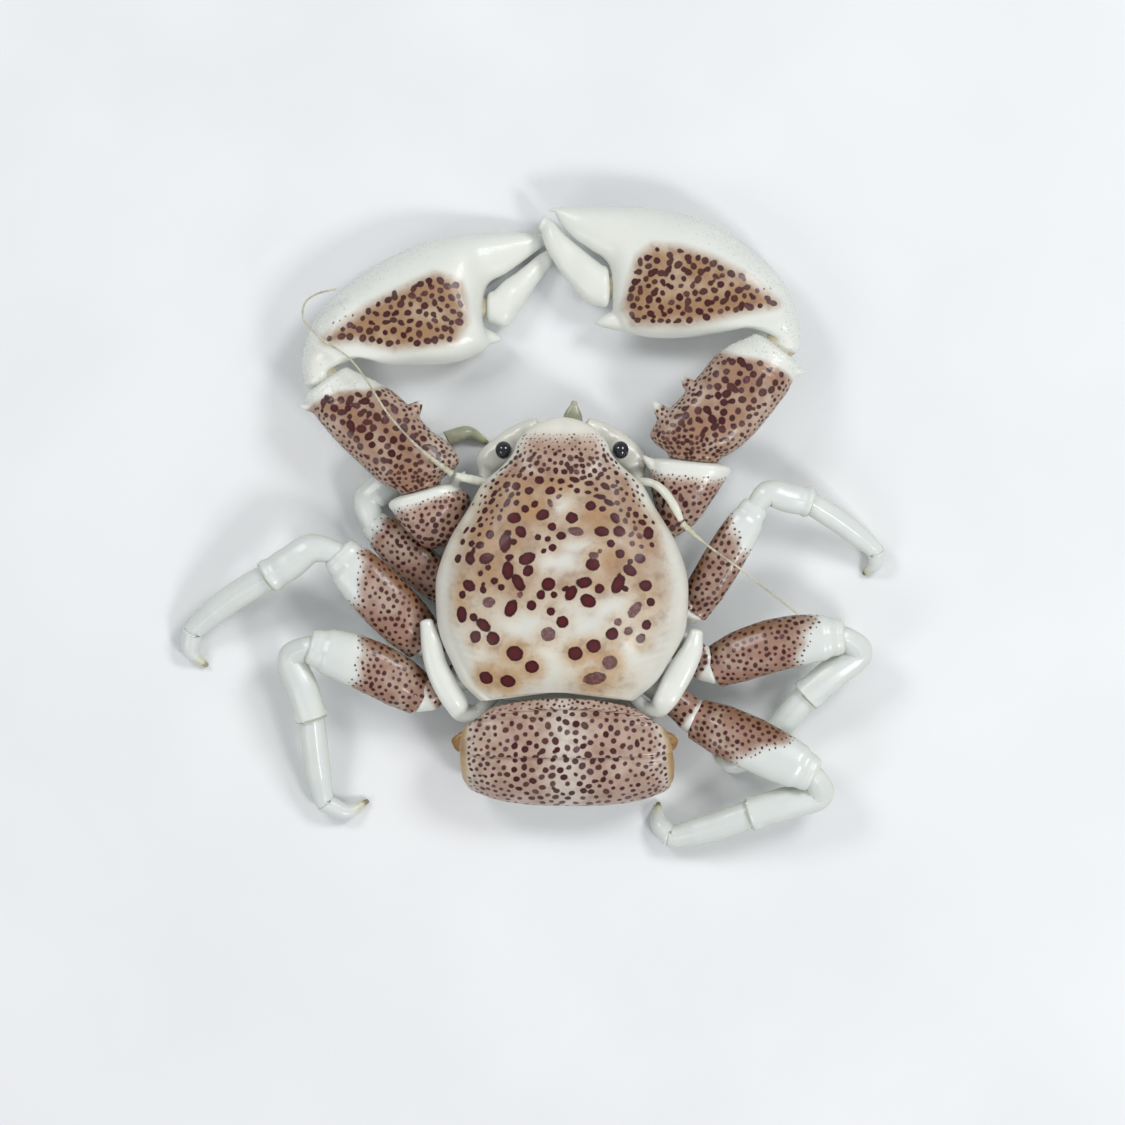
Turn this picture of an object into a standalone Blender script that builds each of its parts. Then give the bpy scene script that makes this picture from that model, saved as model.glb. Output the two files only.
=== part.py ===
"""Spotted porcelain crab (Neopetrolisthes maculatus), a still, life-size model of a large adult.

The crab faces -Y, its left side is +X, and it stands on Z = 0. The tables give millimetres in the crab's own
frame: x to its left, y towards its tail from the middle of the shell, z up from the floor.
"""

import math

import bmesh
import bpy
import numpy as np
from mathutils import Vector

NAME = "spotted_porcelain_crab"
MM = 0.001
GAP = 0.3  # clearance between neighbouring pieces of shell
MIDDLE = (-2.04, 2.36)  # where the middle of the shell lies in the part's frame

# The shell: how far back, half width, top, edge and underside
SHELL = [
    (-10.1, 0.25, 6.05, 5.9, 5.7),
    (-9.6, 1.6, 6.35, 5.9, 5.6),
    (-8.7, 2.9, 6.7, 5.9, 5.55),
    (-7.4, 3.6, 7.1, 5.85, 5.45),
    (-6.6, 4.3, 7.35, 5.6, 5.1),
    (-5.6, 5.45, 7.6, 5.3, 4.8),
    (-3.8, 6.5, 8.1, 5.0, 4.4),
    (-1.4, 7.95, 8.7, 4.8, 4.2),
    (1.2, 8.85, 9.0, 4.8, 4.2),
    (3.0, 8.9, 9.0, 4.8, 4.2),
    (5.2, 8.65, 8.8, 4.9, 4.2),
    (7.2, 7.7, 8.2, 5.0, 4.3),
    (8.9, 6.65, 7.3, 5.1, 4.5),
    (10.0, 5.4, 6.5, 5.2, 4.8),
]
REAR_NOTCH = 0.65
LEAN = 0.08  # how far the rear of the shell turns to the crab's left
LEAN_FROM = 5.2  # how far the middle of the shell's rear edge lies ahead of its corners

# The underside that carries the legs: how far back, half width, middle height, rise, drop
THORAX = [
    (-7.3, 1.5, 3.3, 0.9, 0.9),
    (-6.3, 3.2, 3.2, 1.0, 1.2),
    (-4.5, 4.7, 3.0, 1.0, 1.3),
    (-1.0, 5.6, 2.8, 1.1, 1.1),
    (4.0, 5.7, 2.8, 1.1, 1.1),
    (8.0, 5.1, 2.8, 1.2, 1.1),
    (9.9, 4.2, 3.0, 1.4, 1.1),
]

# The tail's outer line from the shell's rear edge, round the bend and forward under the belly:
# back, height, half width, thickness
TAIL = [
    (9.8, 5.9, 5.4, 1.2),
    (11.0, 6.4, 6.9, 1.4),
    (12.7, 6.6, 7.4, 1.6),
    (14.6, 6.2, 7.6, 1.6),
    (16.4, 5.2, 7.6, 1.6),
    (17.5, 3.5, 7.5, 1.6),
    (16.9, 1.6, 7.2, 1.3),
    (15.2, 0.7, 6.6, 0.9),
    (12.0, 0.55, 6.0, 0.85),
    (8.0, 0.55, 5.2, 0.85),
    (4.0, 0.55, 4.6, 0.8),
]
TAIL_ENDS = [0.0, 0.037, 0.185, 0.5, 0.66, 0.83, 1.0]  # shares of the outer line where the rings end
TAIL_HUB = (13.0, 3.4)  # the middle of the bend
TAIL_CORE = [
    (11.9, 6.6, 2.8, 0.75, 0.95),
    (12.5, 7.8, 2.8, 0.8, 0.95),
    (13.4, 7.9, 2.8, 0.8, 0.95),
    (14.1, 7.0, 2.8, 0.8, 0.95),
]
TAIL_SWING = 0.08  # how far the tail turns to the crab's right for each step behind the shell
TAIL_SWING_FROM = 10.0

# Walking legs: hip, start and end of the long segment, bend and end of the wrist, end of the shin,
# middle and tip of the claw, then the widths of the long segment, wrist and shin, and how far the long
# segment and the shin bow sideways
LEGS = {
    "leg_1_left": (
        (5.0, 0.6, 2.6), (8.3, 2.1, 1.9), (13.8, -2.9, 1.85), (13.8, -4.3, 1.8), (11.9, -6.0, 1.6),
        (8.1, -8.7, 0.95), (6.7, -9.1, 0.75), (5.4, -8.4, 0.2), (3.1, 2.45, 1.6, 0.0, 0.0),
    ),
    "leg_2_left": (
        (5.0, 4.0, 2.8), (9.9, 5.7, 2.8), (16.1, -0.7, 4.1), (17.8, -0.8, 4.0), (20.9, 1.2, 3.3),
        (26.5, 5.3, 1.0), (26.6, 6.5, 0.7), (25.5, 7.5, 0.2), (4.0, 2.4, 2.0, 0.0, -0.25),
    ),
    "leg_3_left": (
        (4.7, 7.2, 2.8), (10.2, 9.6, 2.9), (18.1, 6.0, 4.3), (19.2, 6.9, 3.3), (17.8, 11.3, 3.0),
        (16.8, 17.5, 1.0), (15.4, 18.0, 0.7), (14.0, 17.3, 0.2), (3.8, 2.3, 1.9, -0.4, -0.1),
    ),
    "leg_1_right": (
        (-5.0, 0.8, 2.8), (-9.35, 3.5, 2.9), (-13.9, -4.1, 4.1), (-14.6, -4.7, 4.1), (-17.6, -4.1, 3.4),
        (-22.5, -0.4, 1.1), (-22.4, 0.3, 0.8), (-21.7, 0.9, 0.2), (2.9, 2.1, 1.7, 0.0, 0.15),
    ),
    "leg_2_right": (
        (-5.0, 4.2, 2.8), (-11.0, 7.6, 3.0), (-20.2, 5.3, 4.4), (-21.1, 6.5, 3.3), (-17.4, 9.7, 2.6),
        (-13.1, 14.5, 1.0), (-12.1, 14.7, 0.7), (-11.1, 14.0, 0.2), (3.8, 2.3, 1.9, 0.5, 0.0),
    ),
    "leg_3_right": (
        (-4.7, 7.4, 2.8), (-9.8, 11.4, 2.9), (-18.1, 15.4, 4.5), (-18.3, 16.6, 3.2), (-13.4, 18.1, 2.8),
        (-7.6, 19.7, 1.0), (-6.9, 18.7, 0.7), (-6.9, 17.5, 0.2), (3.8, 2.4, 2.1, 0.1, 0.15),
    ),
}
# Shares of the width along a segment
LONG_SEGMENT = [(0.0, 0.8), (0.2, 0.96), (0.45, 1.0), (0.7, 0.96), (0.88, 0.86), (1.0, 0.66)]
WRIST = [(0.0, 0.66), (0.3, 0.86), (0.7, 1.0), (1.0, 1.0)]
SHIN = [(0.0, 0.96), (0.3, 1.0), (0.7, 0.94), (1.0, 0.7)]
FLATNESS = 0.66  # depth of a long segment for its width

# Claw arms. Each row holds the outer edge, the inner edge, the middle height, rise and drop
ARM = {
    "left": [
        (7.9, -1.1, 6.7, -3.1, 3.0, 1.15, 1.05),
        (9.3, -0.8, 6.5, -4.0, 3.2, 1.2, 1.05),
        (10.9, -1.9, 6.6, -4.6, 3.6, 1.45, 1.3),
        (12.3, -3.8, 7.4, -5.2, 3.7, 1.65, 1.6),
    ],
    "right": [
        (-7.9, -1.5, -6.7, -3.5, 2.9, 1.15, 1.1),
        (-9.4, -2.5, -6.5, -4.3, 3.0, 1.35, 1.3),
        (-10.6, -4.1, -6.3, -5.2, 3.3, 1.6, 1.5),
        (-12.0, -6.3, -6.15, -6.85, 3.7, 1.65, 1.6),
    ],
}
CLAW_WRIST = {
    "left": [
        (11.7, -4.95, 8.6, -5.75, 4.1, 1.4, 1.3),
        (12.7, -5.4, 7.5, -6.6, 4.3, 1.65, 1.6),
        (14.1, -6.6, 7.9, -8.1, 4.4, 1.7, 1.7),
        (15.4, -7.8, 9.4, -9.3, 4.4, 1.7, 1.7),
        (16.7, -9.2, 10.9, -11.0, 4.3, 1.7, 1.7),
        (17.7, -10.5, 12.8, -12.5, 4.1, 1.65, 1.7),
        (18.1, -11.3, 15.0, -13.5, 3.8, 1.4, 1.4),
    ],
    "right": [
        (-11.3, -7.25, -7.5, -7.65, 4.1, 1.4, 1.3),
        (-12.2, -7.7, -6.4, -8.5, 4.3, 1.65, 1.6),
        (-13.3, -8.6, -6.7, -9.8, 4.4, 1.7, 1.7),
        (-14.3, -9.7, -8.2, -11.3, 4.4, 1.7, 1.7),
        (-15.4, -11.1, -9.7, -13.1, 4.3, 1.7, 1.7),
        (-16.3, -12.4, -11.6, -15.1, 4.1, 1.65, 1.7),
        (-16.7, -13.5, -13.5, -15.9, 3.8, 1.4, 1.4),
    ],
}
PALM = {
    "left": [
        (18.3, -12.5, 16.4, -13.6, 3.6, 1.2, 1.3),
        (18.5, -14.2, 14.4, -14.4, 3.3, 1.7, 1.8),
        (18.0, -16.2, 12.5, -13.9, 2.8, 2.0, 2.3),
        (16.8, -18.2, 10.4, -13.9, 2.4, 2.3, 2.5),
        (15.0, -19.8, 8.2, -14.0, 2.3, 2.4, 2.45),
        (12.6, -21.4, 6.4, -14.5, 2.2, 2.3, 2.35),
        (10.2, -22.5, 5.2, -15.5, 2.0, 2.1, 2.1),
        (7.9, -23.1, 5.65, -17.2, 1.8, 1.7, 1.7),
        (6.2, -23.3, 5.4, -19.5, 1.5, 1.2, 1.3),
        (4.4, -23.4, 3.9, -20.5, 1.2, 0.95, 1.0),
        (2.8, -23.4, 2.45, -21.6, 1.0, 0.7, 0.7),
        (1.2, -23.3, 1.3, -22.5, 0.8, 0.45, 0.4),
    ],
    "right": [
        (-16.9, -15.0, -15.0, -15.9, 3.6, 1.2, 1.3),
        (-16.9, -16.5, -13.2, -16.5, 3.3, 1.7, 1.8),
        (-16.5, -18.2, -11.5, -16.2, 2.8, 2.0, 2.3),
        (-15.5, -20.2, -9.4, -15.9, 2.4, 2.3, 2.5),
        (-14.0, -21.7, -7.4, -15.8, 2.4, 2.4, 2.55),
        (-11.8, -23.3, -5.5, -16.0, 2.4, 2.4, 2.5),
        (-9.6, -24.4, -4.1, -16.5, 2.5, 2.2, 2.1),
        (-7.3, -24.9, -3.65, -17.8, 2.6, 1.9, 1.8),
        (-5.5, -25.1, -3.35, -21.0, 2.7, 1.4, 1.4),
        (-3.5, -25.2, -1.9, -22.2, 2.7, 1.1, 1.1),
        (-1.6, -25.2, -0.75, -23.0, 2.6, 0.85, 0.8),
        (-0.3, -25.2, 0.1, -23.95, 2.5, 0.55, 0.5),
        (0.7, -25.1, 0.6, -24.9, 2.4, 0.3, 0.3),
    ],
}
FINGER = {
    "left": [
        (4.9, -19.2, 4.95, -16.9, 1.6, 0.9, 1.0),
        (4.25, -19.85, 4.1, -16.6, 1.5, 1.0, 1.1),
        (3.4, -20.45, 3.0, -17.9, 1.3, 0.9, 1.0),
        (2.5, -21.15, 2.0, -19.4, 1.1, 0.75, 0.8),
        (1.5, -21.95, 1.1, -20.7, 0.9, 0.5, 0.6),
        (0.6, -22.4, 0.4, -21.6, 0.8, 0.35, 0.4),
    ],
    "right": [
        (-2.9, -21.0, -2.95, -18.0, 2.6, 1.1, 1.1),
        (-1.95, -21.75, -1.9, -18.3, 2.6, 1.1, 1.1),
        (-0.9, -22.6, -0.6, -19.6, 2.6, 0.9, 0.8),
        (-0.05, -23.35, 0.5, -21.1, 2.6, 0.8, 0.65),
        (0.65, -24.15, 1.25, -22.5, 2.5, 0.6, 0.5),
        (1.1, -24.5, 1.5, -23.5, 2.4, 0.35, 0.35),
    ],
}
# Teeth: the piece that each one grows on, its root, its tip and the radius of its root
TEETH = {
    "claw_wrist_left": [
        ((16.9, -10.7, 4.0), (18.7, -10.9, 4.0), 0.5),
        ((11.0, -10.1, 4.5), (9.9, -11.3, 4.6), 0.8),
    ],
    "claw_wrist_right": [
        ((-15.6, -13.1, 4.0), (-17.3, -13.5, 4.0), 0.5),
        ((-9.9, -11.6, 4.5), (-8.4, -13.0, 4.6), 0.8),
        ((-7.8, -9.6, 4.5), (-6.4, -11.3, 4.6), 0.8),
    ],
    "claw_palm_left": [((6.5, -16.0, 1.9), (4.3, -15.75, 1.9), 0.95)],
    "claw_palm_right": [((-4.6, -17.2, 2.5), (-2.3, -16.9, 2.5), 0.95)],
    "claw_arm_left": [((8.2, -4.6, 3.8), (6.9, -6.3, 3.8), 0.55)],
    "claw_arm_right": [((-6.9, -6.4, 4.0), (-5.7, -7.4, 4.3), 0.5)],
}

# Small hind legs, folded up over the flanks: x, y, z, width, depth
FIFTH_LEG = {
    "left": [
        (5.0, 9.8, 3.25, 1.0, 0.9),
        (6.2, 10.9, 3.6, 1.2, 0.95),
        (7.05, 10.8, 3.95, 1.5, 1.1),
        (7.55, 10.1, 4.4, 1.7, 1.25),
        (8.25, 8.95, 4.7, 1.75, 1.3),
        (8.97, 7.35, 4.8, 1.6, 1.35),
        (9.3, 5.8, 4.95, 1.45, 1.3),
        (9.57, 4.6, 4.85, 1.0, 1.0),
    ],
    "right": [
        (-5.0, 9.7, 3.2, 1.0, 0.9),
        (-6.1, 10.6, 3.8, 1.2, 0.95),
        (-6.85, 10.5, 4.3, 1.4, 1.05),
        (-7.35, 9.85, 4.75, 1.7, 1.2),
        (-8.0, 8.65, 4.75, 1.9, 1.35),
        (-8.75, 7.3, 4.9, 1.8, 1.4),
        (-9.25, 6.3, 4.95, 1.5, 1.3),
        (-9.47, 5.3, 4.85, 1.05, 1.0),
    ],
}

# The face, for the left side: the outer mouthpart's plate has the rows of a claw arm
EYE = (4.15, -7.8, 5.05)
EYE_RADIUS = 0.64
STALK = [(2.4, -6.5, 4.6, 0.6, 0.55), (2.9, -6.9, 4.7, 0.65, 0.6), (3.25, -7.2, 4.85, 0.65, 0.6)]
MOUTH_PLATE = [
    (2.1, -10.1, 1.35, -8.9, 3.7, 0.6, 0.8),
    (3.4, -9.6, 2.1, -8.1, 3.3, 0.7, 1.1),
    (4.9, -8.6, 3.3, -7.1, 3.1, 0.8, 1.4),
    (6.1, -7.2, 4.4, -6.3, 3.0, 0.8, 1.4),
    (5.9, -6.2, 5.0, -5.7, 2.9, 0.6, 1.1),
]
MOUTH_PALP = [(0.75, -9.4, 3.2, 0.6, 0.8), (0.6, -8.9, 2.2, 0.6, 0.8), (0.55, -8.1, 1.7, 0.55, 0.6)]
ANTENNULE = {
    "left": [(0.7, -7.8, 4.7, 0.8, 0.6), (0.75, -8.8, 4.8, 0.8, 0.6), (0.7, -9.7, 4.85, 0.6, 0.5)],
    "right": [(-0.7, -7.8, 4.7, 0.8, 0.6), (-0.8, -9.4, 4.85, 0.95, 0.6), (-0.95, -10.9, 4.95, 0.35, 0.35)],
}
ANTENNA_BASE = {
    "left": [(4.7, -5.3, 4.2, 0.65, 0.5), (5.9, -5.6, 4.6, 0.65, 0.6), (7.2, -5.9, 5.4, 0.55, 0.55)],
    "right": [(-4.9, -5.6, 4.15, 0.6, 0.5), (-6.5, -5.4, 5.0, 0.6, 0.55), (-8.3, -3.1, 5.8, 0.5, 0.5)],
}
ANTENNA = {
    "left": [
        (7.8, -6.1, 5.9), (10.3, -8.1, 6.9), (11.8, -9.7, 6.9), (15.2, -14.4, 6.2), (17.3, -15.9, 5.4),
        (18.4, -17.3, 4.9), (18.2, -18.3, 4.9), (17.3, -18.9, 5.1), (16.0, -19.2, 5.3),
    ],
    "right": [(-8.5, -2.6, 5.8), (-10.1, -1.2, 5.8), (-12.3, 0.4, 5.7), (-14.5, 2.1, 5.7), (-16.8, 3.9, 5.8)],
}
ANTENNA_RADIUS = (0.27, 0.15)

# Base colour, roughness
LOOKS = {
    "porcelain": ((0.80, 0.80, 0.76), 0.25),
    "spotted_shell": ((0.55, 0.33, 0.25), 0.25),
    "spotted_limb": ((0.52, 0.32, 0.26), 0.28),
    "eye": ((0.01, 0.012, 0.025), 0.08),
    "feeler": ((0.72, 0.72, 0.66), 0.35),
    "flesh": ((0.55, 0.38, 0.12), 0.4),
    "horn_tip": ((0.50, 0.48, 0.30), 0.3),
}

UP = np.array([0.0, 0.0, 1.0])


def clear_scene():
    for thing in list(bpy.data.objects):
        bpy.data.objects.remove(thing)
    for group in list(bpy.data.collections):
        bpy.data.collections.remove(group)


def make_materials():
    made = {}
    for name, (colour, roughness) in LOOKS.items():
        material = bpy.data.materials.new(name)
        material.use_nodes = True
        shader = material.node_tree.nodes["Principled BSDF"]
        shader.inputs["Base Color"].default_value = (*colour, 1.0)
        shader.inputs["Roughness"].default_value = roughness
        shader.inputs["Metallic"].default_value = 0.0
        material.diffuse_color = (*colour, 1.0)
        made[name] = material
    return made


def unit(vectors):
    return vectors / np.linalg.norm(vectors, axis=-1, keepdims=True)


def through(rows, count):
    """Rows spread evenly along a smooth curve through the given rows, whose first three numbers are a point."""
    rows = np.array(rows, float)
    steps = np.linalg.norm(np.diff(rows[:, :3], axis=0), axis=1)
    places = np.concatenate([[0.0], np.cumsum(steps)])
    slopes = np.gradient(rows, places, axis=0)
    spread = np.linspace(0.0, places[-1], count)
    left = np.clip(np.searchsorted(places, spread, side="right") - 1, 0, len(places) - 2)
    span = (places[left + 1] - places[left])[:, None]
    f = (spread - places[left])[:, None] / span
    start = (2 * f**3 - 3 * f**2 + 1) * rows[left] + (f**3 - 2 * f**2 + f) * span * slopes[left]
    return start + (3 * f**2 - 2 * f**3) * rows[left + 1] + (f**3 - f**2) * span * slopes[left + 1]


def shares(profile, count):
    """The profile's share at each of the evenly spread places along a segment."""
    table = np.array(profile)
    return np.interp(np.linspace(0.0, 1.0, count), table[:, 0], table[:, 1])


def power(value, squareness):
    return np.sign(value) * np.abs(value) ** (2.0 / squareness)


def section(centre, across, rise, drop, sides, squareness):
    """A rounded ring: across is half its width, rise and drop are vectors to its top and bottom."""
    angles = (np.arange(sides) + 0.5) * 2.0 * math.pi / sides
    sideways = power(np.cos(angles), squareness)[:, None]
    upwards = power(np.sin(angles), squareness)[:, None]
    return centre + sideways * across + np.where(upwards > 0.0, upwards * rise, -upwards * drop)


def skinned(name, rings, tips):
    """A closed solid through the rings, with a fan to a tip at each end. No point goes below the floor."""
    mesh = bmesh.new()
    loops = []
    for ring in rings:
        loops.append([mesh.verts.new((x * MM, y * MM, max(z, 0.0) * MM)) for x, y, z in ring])
    for ring, following in zip(loops, loops[1:]):
        for k in range(len(ring)):
            j = (k + 1) % len(ring)
            mesh.faces.new((ring[k], ring[j], following[j], following[k]))
    for loop, (x, y, z) in ((loops[0], tips[0]), (loops[-1], tips[1])):
        tip = mesh.verts.new((x * MM, y * MM, max(z, 0.0) * MM))
        for k in range(len(loop)):
            mesh.faces.new((loop[k], loop[(k + 1) % len(loop)], tip))
    bmesh.ops.recalc_face_normals(mesh, faces=mesh.faces)
    data = bpy.data.meshes.new(name)
    mesh.to_mesh(data)
    mesh.free()
    data.shade_smooth()
    made = bpy.data.objects.new(name, data)
    PARTS.objects.link(made)
    return made


def capped(rows, heads, ends, sides, squareness, name):
    """Skins rows of centre, across, rise and drop, and rounds off each end over the given depth."""
    before, after = [], []
    for depth, row, head, store in ((-ends[0], rows[0], heads[0], before), (ends[1], rows[-1], heads[-1], after)):
        for share in (0.62, 0.93):
            centre, across, rise, drop = row
            moved = centre + head * depth * share
            scale = (1.0 - share**3) ** (1.0 / 3.0)
            store.append(section(moved, across * scale, rise * scale, drop * scale, sides, squareness))
    rings = before[::-1] + [section(*row, sides, squareness) for row in rows] + after
    tips = (rows[0][0] - heads[0] * ends[0], rows[-1][0] + heads[-1] * ends[1])
    return skinned(name, rings, tips)


def limb(name, rows, ends=(0.3, 0.3), count=9, sides=12, squareness=2.2, facing=(None, None)):
    """A segment along a path of x, y, z, width and depth. facing sets the direction of its end faces."""
    rows = through(rows, count)
    heads = unit(np.gradient(rows[:, :3], axis=0))
    for place, direction in ((0, facing[0]), (-1, facing[1])):
        if direction is not None:
            heads[place] = direction
    across = unit(np.cross(UP, heads)) * rows[:, 3:4] / 2.0
    upwards = unit(np.cross(heads, across)) * rows[:, 4:5] / 2.0
    return capped(list(zip(rows[:, :3], across, upwards, -upwards)), heads, ends, sides, squareness, name)


def plate(name, edges, ends=(0.3, 0.3), count=14, sides=16, squareness=2.3):
    """A flattened piece between two edges seen from above. Each row is one section across it."""
    edges = np.array(edges, float)
    outer, inner = edges[:, 0:2], edges[:, 2:4]
    rows = np.hstack([(outer + inner) / 2.0, edges[:, 4:5], (outer - inner) / 2.0, edges[:, 5:7]])
    rows = through(rows, count)
    across = np.hstack([rows[:, 3:5], np.zeros((count, 1))])
    heads = unit(np.gradient(rows[:, :3], axis=0))
    for place in (0, -1):
        square = unit(np.cross(across[place], UP))
        heads[place] = square * np.sign(np.dot(square, heads[place]))
    rise, drop = rows[:, 5:6] * UP, -rows[:, 6:7] * UP
    return capped(list(zip(rows[:, :3], across, rise, drop)), heads, ends, sides, squareness, name)


def fuse(piece, extras):
    """Joins the extra solids to the piece with one Boolean union and keeps its largest closed surface."""
    helpers = bpy.data.collections.new(piece.name + "_extras")
    bpy.context.scene.collection.children.link(helpers)
    for extra in extras:
        PARTS.objects.unlink(extra)
        helpers.objects.link(extra)
    union = piece.modifiers.new("union", "BOOLEAN")
    union.operation = "UNION"
    union.operand_type = "COLLECTION"
    union.collection = helpers
    union.solver = "EXACT"
    graph = bpy.context.evaluated_depsgraph_get()
    data = bpy.data.meshes.new_from_object(piece.evaluated_get(graph))
    piece.modifiers.clear()
    piece.data = data
    for extra in extras:
        bpy.data.objects.remove(extra)
    bpy.data.collections.remove(helpers)
    keep_largest(data)
    data.shade_smooth()


def keep_largest(data):
    mesh = bmesh.new()
    mesh.from_mesh(data)
    islands = []
    waiting = set(mesh.verts)
    while waiting:
        island = {waiting.pop()}
        edge = list(island)
        while edge:
            for link in edge.pop().link_edges:
                for vert in link.verts:
                    if vert in waiting:
                        waiting.remove(vert)
                        island.add(vert)
                        edge.append(vert)
        islands.append(island)
    islands.sort(key=len)
    for island in islands[:-1]:
        bmesh.ops.delete(mesh, geom=list(island), context="VERTS")
    mesh.to_mesh(data)
    mesh.free()


def tooth(root, tip, radius):
    mesh = bmesh.new()
    line = Vector(tip) - Vector(root)
    bmesh.ops.create_cone(
        mesh, cap_ends=True, segments=8, radius1=radius * MM, radius2=0.08 * MM, depth=line.length * MM
    )
    data = bpy.data.meshes.new("tooth")
    mesh.to_mesh(data)
    mesh.free()
    made = bpy.data.objects.new("tooth", data)
    made.location = (Vector(root) + Vector(tip)) * MM / 2.0
    made.rotation_euler = line.to_track_quat("Z", "Y").to_euler()
    PARTS.objects.link(made)
    return made


def build_shell():
    """The carapace, domed over a thin edge, with a blunt snout and a notched rear edge."""
    rows = through([(y, 0.0, 0.0, half, top, edge, under) for y, half, top, edge, under in SHELL], 22)
    angles = (np.arange(32) + 0.5) * 2.0 * math.pi / 32
    rings = []
    for y, _, _, half, top, edge, under in rows:
        sideways = power(np.cos(angles), 2.5)
        height = power(np.sin(angles), 2.3)
        notch = REAR_NOTCH * max(0.0, (y - 7.0) / 3.1) ** 2
        lengthwise = y - notch * (1.0 - sideways**2)
        upwards = np.where(height > 0.0, edge + (top - edge) * height, edge + (edge - under) * height)
        lean = LEAN * max(0.0, y - LEAN_FROM)
        rings.append(np.column_stack([half * sideways + lean, lengthwise, upwards]))
    front = (0.0, SHELL[0][0] - 0.1, SHELL[0][3])
    rear = (lean, SHELL[-1][0] - REAR_NOTCH, (SHELL[-1][2] + SHELL[-1][4]) / 2.0)
    return skinned("carapace", rings, (front, rear))


def lengthwise_block(name, table, count, sides, squareness):
    """A block symmetric about the middle, from rows of y, half width, height, rise and drop."""
    edges = [(half, y, -half, y, height, rise, drop) for y, half, height, rise, drop in table]
    return plate(name, edges, ends=(0.2, 0.2), count=count, sides=sides, squareness=squareness)


def build_thorax():
    """The sternum with the hip of every leg grown on it."""
    thorax = lengthwise_block("thorax", THORAX, 9, 16, 4.0)
    hips = []
    for name, leg in LEGS.items():
        hip, start, knee = (np.array(point) for point in leg[:3])
        middle = (hip + start) / 2.0
        wide = min(leg[8][0] * 0.66, 2.4)
        head = unit(knee - start)
        end = start - head * (GAP / 2.0 + 0.2)
        rows = [(*hip, 1.9, 1.9), (*middle, 2.1, 2.0), (*end, wide, 2.0)]
        hips.append(limb("hip_" + name, rows, ends=(0.2, 0.2), count=4, sides=8, facing=(None, head)))
    for side in ("left", "right"):
        outer_x, outer_y, inner_x, inner_y, height, _, _ = ARM[side][0]
        root = np.array([(outer_x + inner_x) / 2.0, (outer_y + inner_y) / 2.0, height])
        across = np.array([outer_x - inner_x, outer_y - inner_y, 0.0])
        head = unit(np.cross(across, UP))
        head *= np.sign(root[0] * head[0])
        end = root - head * (GAP + 0.6)
        inside = np.array([root[0] * 0.6, root[1], height])
        rows = [(*inside, 1.9, 1.8), (*((inside + end) / 2.0), 2.0, 1.9), (*end, 2.2, 2.0)]
        hips.append(limb("hip_claw_" + side, rows, ends=(0.2, 0.2), count=4, sides=8, facing=(None, head)))
    fuse(thorax, hips)
    return thorax


def tail_ring(row, reach):
    """One closed section of the tail's band: its outer surface out and its inner surface back."""
    back, height, _, half, thickness, inward_y, inward_z = row
    shares_out = np.linspace(-1.0, 1.0, reach)
    points = []
    for depth, order, width in ((0.0, shares_out, half), (thickness, shares_out[::-1], half * 0.95)):
        for share in order:
            arch = 1.0 - (1.0 - abs(share) ** 2.6) ** (1.0 / 2.6)
            bend = min(1.0, max(0.0, (height - 0.5) / 2.5)) * min(1.0, (back - 9.0) / 3.0 if height > 5.0 else 1.0)
            pull = arch * 0.58 * bend * np.hypot(TAIL_HUB[0] - back, TAIL_HUB[1] - height) + depth
            if depth:
                pull = pull * (1.0 - 0.25 * abs(share) ** 3) + 0.05
            notch = REAR_NOTCH * share**2 * min(1.0, max(0.0, (12.8 - back) / 3.0)) if height > 5.0 else 0.0
            points.append((width * share, back + notch + inward_y * pull, height + inward_z * pull))
    return swung(np.array(points))


def swung(points):
    """Turns the tail slightly to the crab's right."""
    points = points.copy()
    points[:, 0] -= TAIL_SWING * np.maximum(0.0, points[:, 1] - TAIL_SWING_FROM)
    return points


def build_tail():
    """Six rings of the abdomen, from the shell's rear edge round the bend and under the belly, and the fan."""
    rows = [(back, height, 0.0, half, thickness) for back, height, half, thickness in TAIL]
    line = through(rows, 121)
    path = line[:, :2]
    inward = unit(np.gradient(path, axis=0))[:, ::-1] * np.array([-1.0, 1.0])
    turned = np.sign(inward[:, 1:2] * (TAIL_HUB[1] - path[:, 1:2]) + inward[:, :1] * (TAIL_HUB[0] - path[:, :1]))
    line = np.hstack([line, inward * turned])
    length = np.concatenate([[0.0], np.cumsum(np.linalg.norm(np.diff(path, axis=0), axis=1))])
    made = []
    for number in range(6):
        first = TAIL_ENDS[number] * length[-1] + (GAP * (1.2 if number == 1 else 0.5) if number else 0.0)
        last = TAIL_ENDS[number + 1] * length[-1] - GAP / 2.0
        count = 8 if number == 2 else 4
        places = np.linspace(first, last, count)
        spread = np.array([np.interp(places, length, line[:, column]) for column in range(line.shape[1])]).T
        rings = [tail_ring(row, 12) for row in spread]
        tips = (rings[0].mean(axis=0), rings[-1].mean(axis=0))
        made.append(skinned("abdomen_%d" % (number + 1), rings, tips))
    return made


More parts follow.
